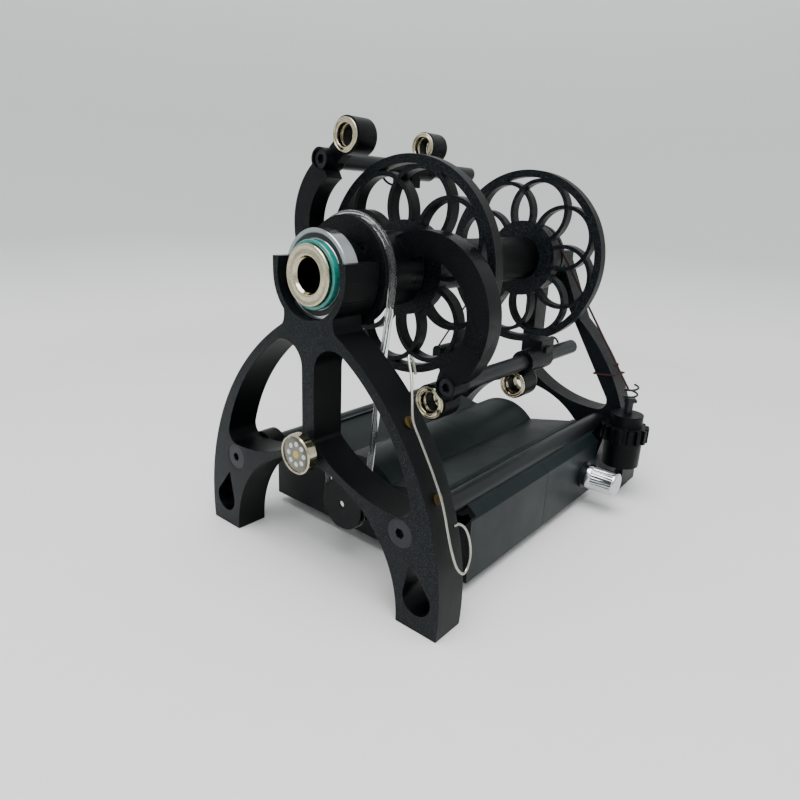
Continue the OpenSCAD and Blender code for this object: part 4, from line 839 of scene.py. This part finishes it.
def knobMesh(size):
    # Rings of points from the back round the flange and the fluted body to the dished face:
    # radius, distance from the back, and 1 where fluted
    flange, body, length = size["flange"], size["body"], size["length"]
    rows = [(size["shaft"], 0.0, 0), (flange - 0.3, 0.0, 0), (flange, 0.3, 0), (flange, 2.5, 0),
            (flange - 0.15, 2.85, 0), (body, 3.1, 0), (body, 3.5, 1), (body, length - 2.4, 1),
            (body, length - 1.8, 0), (body - 0.05, length - 1.1, 0), (body - 0.3, length - 0.5, 0),
            (body - 0.75, length - 0.1, 0), (body - 1.2, length, 0), (body - 1.6, length - 0.1, 0),
            (3.0, length - 0.28, 0), (1.0, length - 0.3, 0)]
    # The bore's end closes it inside, so that the shell is whole
    rows.append((size["shaft"], size["bore"], 0))
    count, last = size["around"], len(rows) - 1
    points, faces = [], []
    for radius, along, fluted in rows:
        for k in range(count):
            angle = 2 * math.pi * k / count
            dip = max(0.0, -math.cos(size["flutes"] * angle)) ** size["fluteShape"] * fluted
            reach = radius - size["depth"] * dip
            points.append(Vector((size["from"] + along,
                                  size["centre"][0] + reach * math.cos(angle),
                                  size["centre"][1] + reach * math.sin(angle))) * mm)
    for row in range(last - 1):
        for k in range(count):
            n = (k + 1) % count
            faces.append((row * count + k, row * count + n,
                          (row + 1) * count + n, (row + 1) * count + k))
    for k in range(count):
        n = (k + 1) % count
        faces.append((k, last * count + k, last * count + n, n))
    faces += [tuple(range(row * count, (row + 1) * count)) for row in (last - 1, last)]
    return points, faces


piece = meshPiece("speedKnob", *knobMesh(knob), mirrorChrome, sharpAngle=40)
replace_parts(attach(piece, "knob"), "speed_knob")

# Badge: a generic dotted disc under the dome

badge = {
    "height": -75.7, "front": -5.66, "thick": 0.04, "radius": 7.7, "segments": 72,
    "hole": 0.001,  # too small to see; it keeps the disc's ring of faces closed
    "dots": 8, "dotRing": 4.5, "dotRadius": 1.15, "dotTint": "#f1f0ea",
    "middle": 1.7, "middleTint": "#d9b61f", "inkEdge": 0.12,
    "paper": "#6d6862", "paperLow": "#57534d", "paperHigh": "#736e66", "fibresPerMetre": 900.0,
}


def badgePrint(size):
    # Ink on uncoated paper: flat dots with soft edges
    material, tree, shader, place = newMaterial("printedPaper", {"Roughness": 0.45, "IOR": 1.5},
                                                size["paper"])
    moved = addNode(tree, "ShaderNodeMapping", {"Location": (0, 0, -size["height"] * mm)},
                    {"Vector": place})
    split = addNode(tree, "ShaderNodeSeparateXYZ", links={0: moved.outputs[0]})
    flat = addNode(tree, "ShaderNodeCombineXYZ", links={0: split.outputs[0], 1: split.outputs[2]})
    fibre = addNode(tree, "ShaderNodeTexNoise", {"Scale": size["fibresPerMetre"], "Detail": 2.0},
                    {"Vector": place})
    colour = addNode(tree, "ShaderNodeValToRGB", links={0: fibre.outputs[0]}, stops=[
        (0.3, size["paperLow"]), (0.7, size["paperHigh"])]).outputs[0]
    turns = [2 * math.pi * k / size["dots"] for k in range(size["dots"])]
    spots = [(size["dotRing"] * math.cos(a), size["dotRing"] * math.sin(a), size["dotRadius"],
              size["dotTint"]) for a in turns] + [(0, 0, size["middle"], size["middleTint"])]
    for x, z, radius, tint in spots:
        away = addNode(tree, "ShaderNodeVectorMath",
                       {"operation": "DISTANCE", 1: (x * mm, z * mm, 0)}, {0: flat.outputs[0]})
        inside = addNode(tree, "ShaderNodeMapRange",
                         {1: radius * mm, 2: (radius - size["inkEdge"]) * mm, 3: 0.0, 4: 1.0},
                         {0: away.outputs["Value"]})
        colour = addNode(tree, "ShaderNodeMix", {"data_type": "RGBA", 7: linear(tint)},
                         {0: inside.outputs[0], 6: colour}).outputs[2]
    tree.links.new(colour, shader.inputs["Base Color"])
    return material


badgeBack = badge["front"] + badge["thick"]
profile = [(badge["hole"], badge["front"]), (badge["radius"], badge["front"]),
           (badge["radius"], badgeBack), (badge["hole"], badgeBack)]
piece = lathe("badgeDisc", profile, (0, 0, badge["height"]), badgePrint(badge), badge["segments"])
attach(piece, "stand")
print("knob and badge made")

# Studio: a pale round cove, lit from above; sizes in metres

studio = {
    "centre": (0.0, 0.1), "floor": -0.1362, "flat": 0.15, "bendFrom": 0.44, "radius": 0.70,
    "height": 1.1, "bendSteps": 12, "segments": 96, "paintedShadeRise": 0.7,
    # Painted light and shade on the paper: a pale floor, a darker wall and a paler top
    "floorPaintedLight": "#e3e4e2", "wallPaintedShade": "#bdc0bf", "topPaintedLight": "#cdcfce",
    "air": "#e9eef0", "airLight": 0.45,
}


def makeCove(size):
    bend = size["radius"] - size["bendFrom"]
    profile = [(reach, size["floor"]) for reach in (0.0, size["flat"], size["bendFrom"])]
    for k in range(1, size["bendSteps"] + 1):
        angle = math.pi / 2 * k / size["bendSteps"]
        profile.append((size["bendFrom"] + bend * math.sin(angle),
                        size["floor"] + bend * (1 - math.cos(angle))))
    profile.append((size["radius"], size["height"]))
    points, faces, segments, count = [], [], size["segments"], len(profile)
    for k in range(segments):
        angle = 2 * math.pi * k / segments
        for radius, z in profile:
            points.append((size["centre"][0] + radius * math.cos(angle),
                           size["centre"][1] + radius * math.sin(angle), z))
    for k in range(segments):
        n = (k + 1) % segments
        for i in range(count - 1):
            faces.append((k * count + i, k * count + i + 1, n * count + i + 1, n * count + i))
    material, tree, shader, place = newMaterial(
        "seamlessPaperPaintedShade", {"Roughness": 0.75, "Specular IOR Level": 0.25}, size["floorPaintedLight"])
    # Painted light and shade: the one sheet of paper is coloured paler on the floor, darker on the
    # wall behind it, and paler again higher up, as the light falls on it
    fibre = addNode(tree, "ShaderNodeTexNoise", {"Scale": 3.0, "Detail": 2.0}, {"Vector": place})
    height = addNode(tree, "ShaderNodeSeparateXYZ", links={0: place}).outputs[2]
    # The noise only makes the edge of the painted shade uneven
    shadeEdgeDrift = addNode(tree, "ShaderNodeMapRange", {**noiseSpan, 3: -0.01, 4: 0.01},
                    {0: fibre.outputs[0]})
    height = addNode(tree, "ShaderNodeMath", {"operation": "ADD"},
                     {0: height, 1: shadeEdgeDrift.outputs[0]})
    paintedShadeShare = addNode(tree, "ShaderNodeMapRange",
                   {1: size["floor"], 2: size["floor"] + size["paintedShadeRise"], 3: 0.0, 4: 1.0},
                   {0: height.outputs[0]})
    tone = addNode(tree, "ShaderNodeValToRGB", links={0: paintedShadeShare.outputs[0]}, stops=[
        (0.03, size["floorPaintedLight"]), (0.16, size["wallPaintedShade"]), (0.45, size["wallPaintedShade"]),
        (1.0, size["topPaintedLight"])])
    tree.links.new(tone.outputs[0], shader.inputs["Base Color"])
    cove = meshPiece("studioCove", points, faces, material, sharpAngle=60)
    cove.data.flip_normals()


makeCove(studio)

lights = [
    {"name": "overheadSoftbox", "place": (0.13, -0.18, 0.88), "aim": (0.0, 0.08, -0.1),
     "size": (0.9, 0.9), "power": 17.0, "tint": "#ffffff"},
    {"name": "frontFill", "place": (0.50, -0.42, 0.55), "aim": (0.0, 0.05, -0.05),
     "size": (0.4, 0.4), "power": 2.5, "tint": "#f4f8ff"},
]
for settings in lights:
    data = bpy.data.lights.new(settings["name"], "AREA")
    data.shape = "RECTANGLE"
    data.size, data.size_y = settings["size"]
    data.energy = settings["power"]
    data.color = linear(settings["tint"])[:3]
    lamp = addObject(settings["name"], data)
    lamp.location = settings["place"]
    towards = Vector(settings["aim"]) - Vector(settings["place"])
    lamp.rotation_euler = towards.to_track_quat("-Z", "Y").to_euler()

world = bpy.data.worlds.new("studioAir")
world.use_nodes = True
air = world.node_tree.nodes["Background"].inputs
air[0].default_value = linear(studio["air"])
air[1].default_value = studio["airLight"]
bpy.context.scene.world = world
print("studio made")
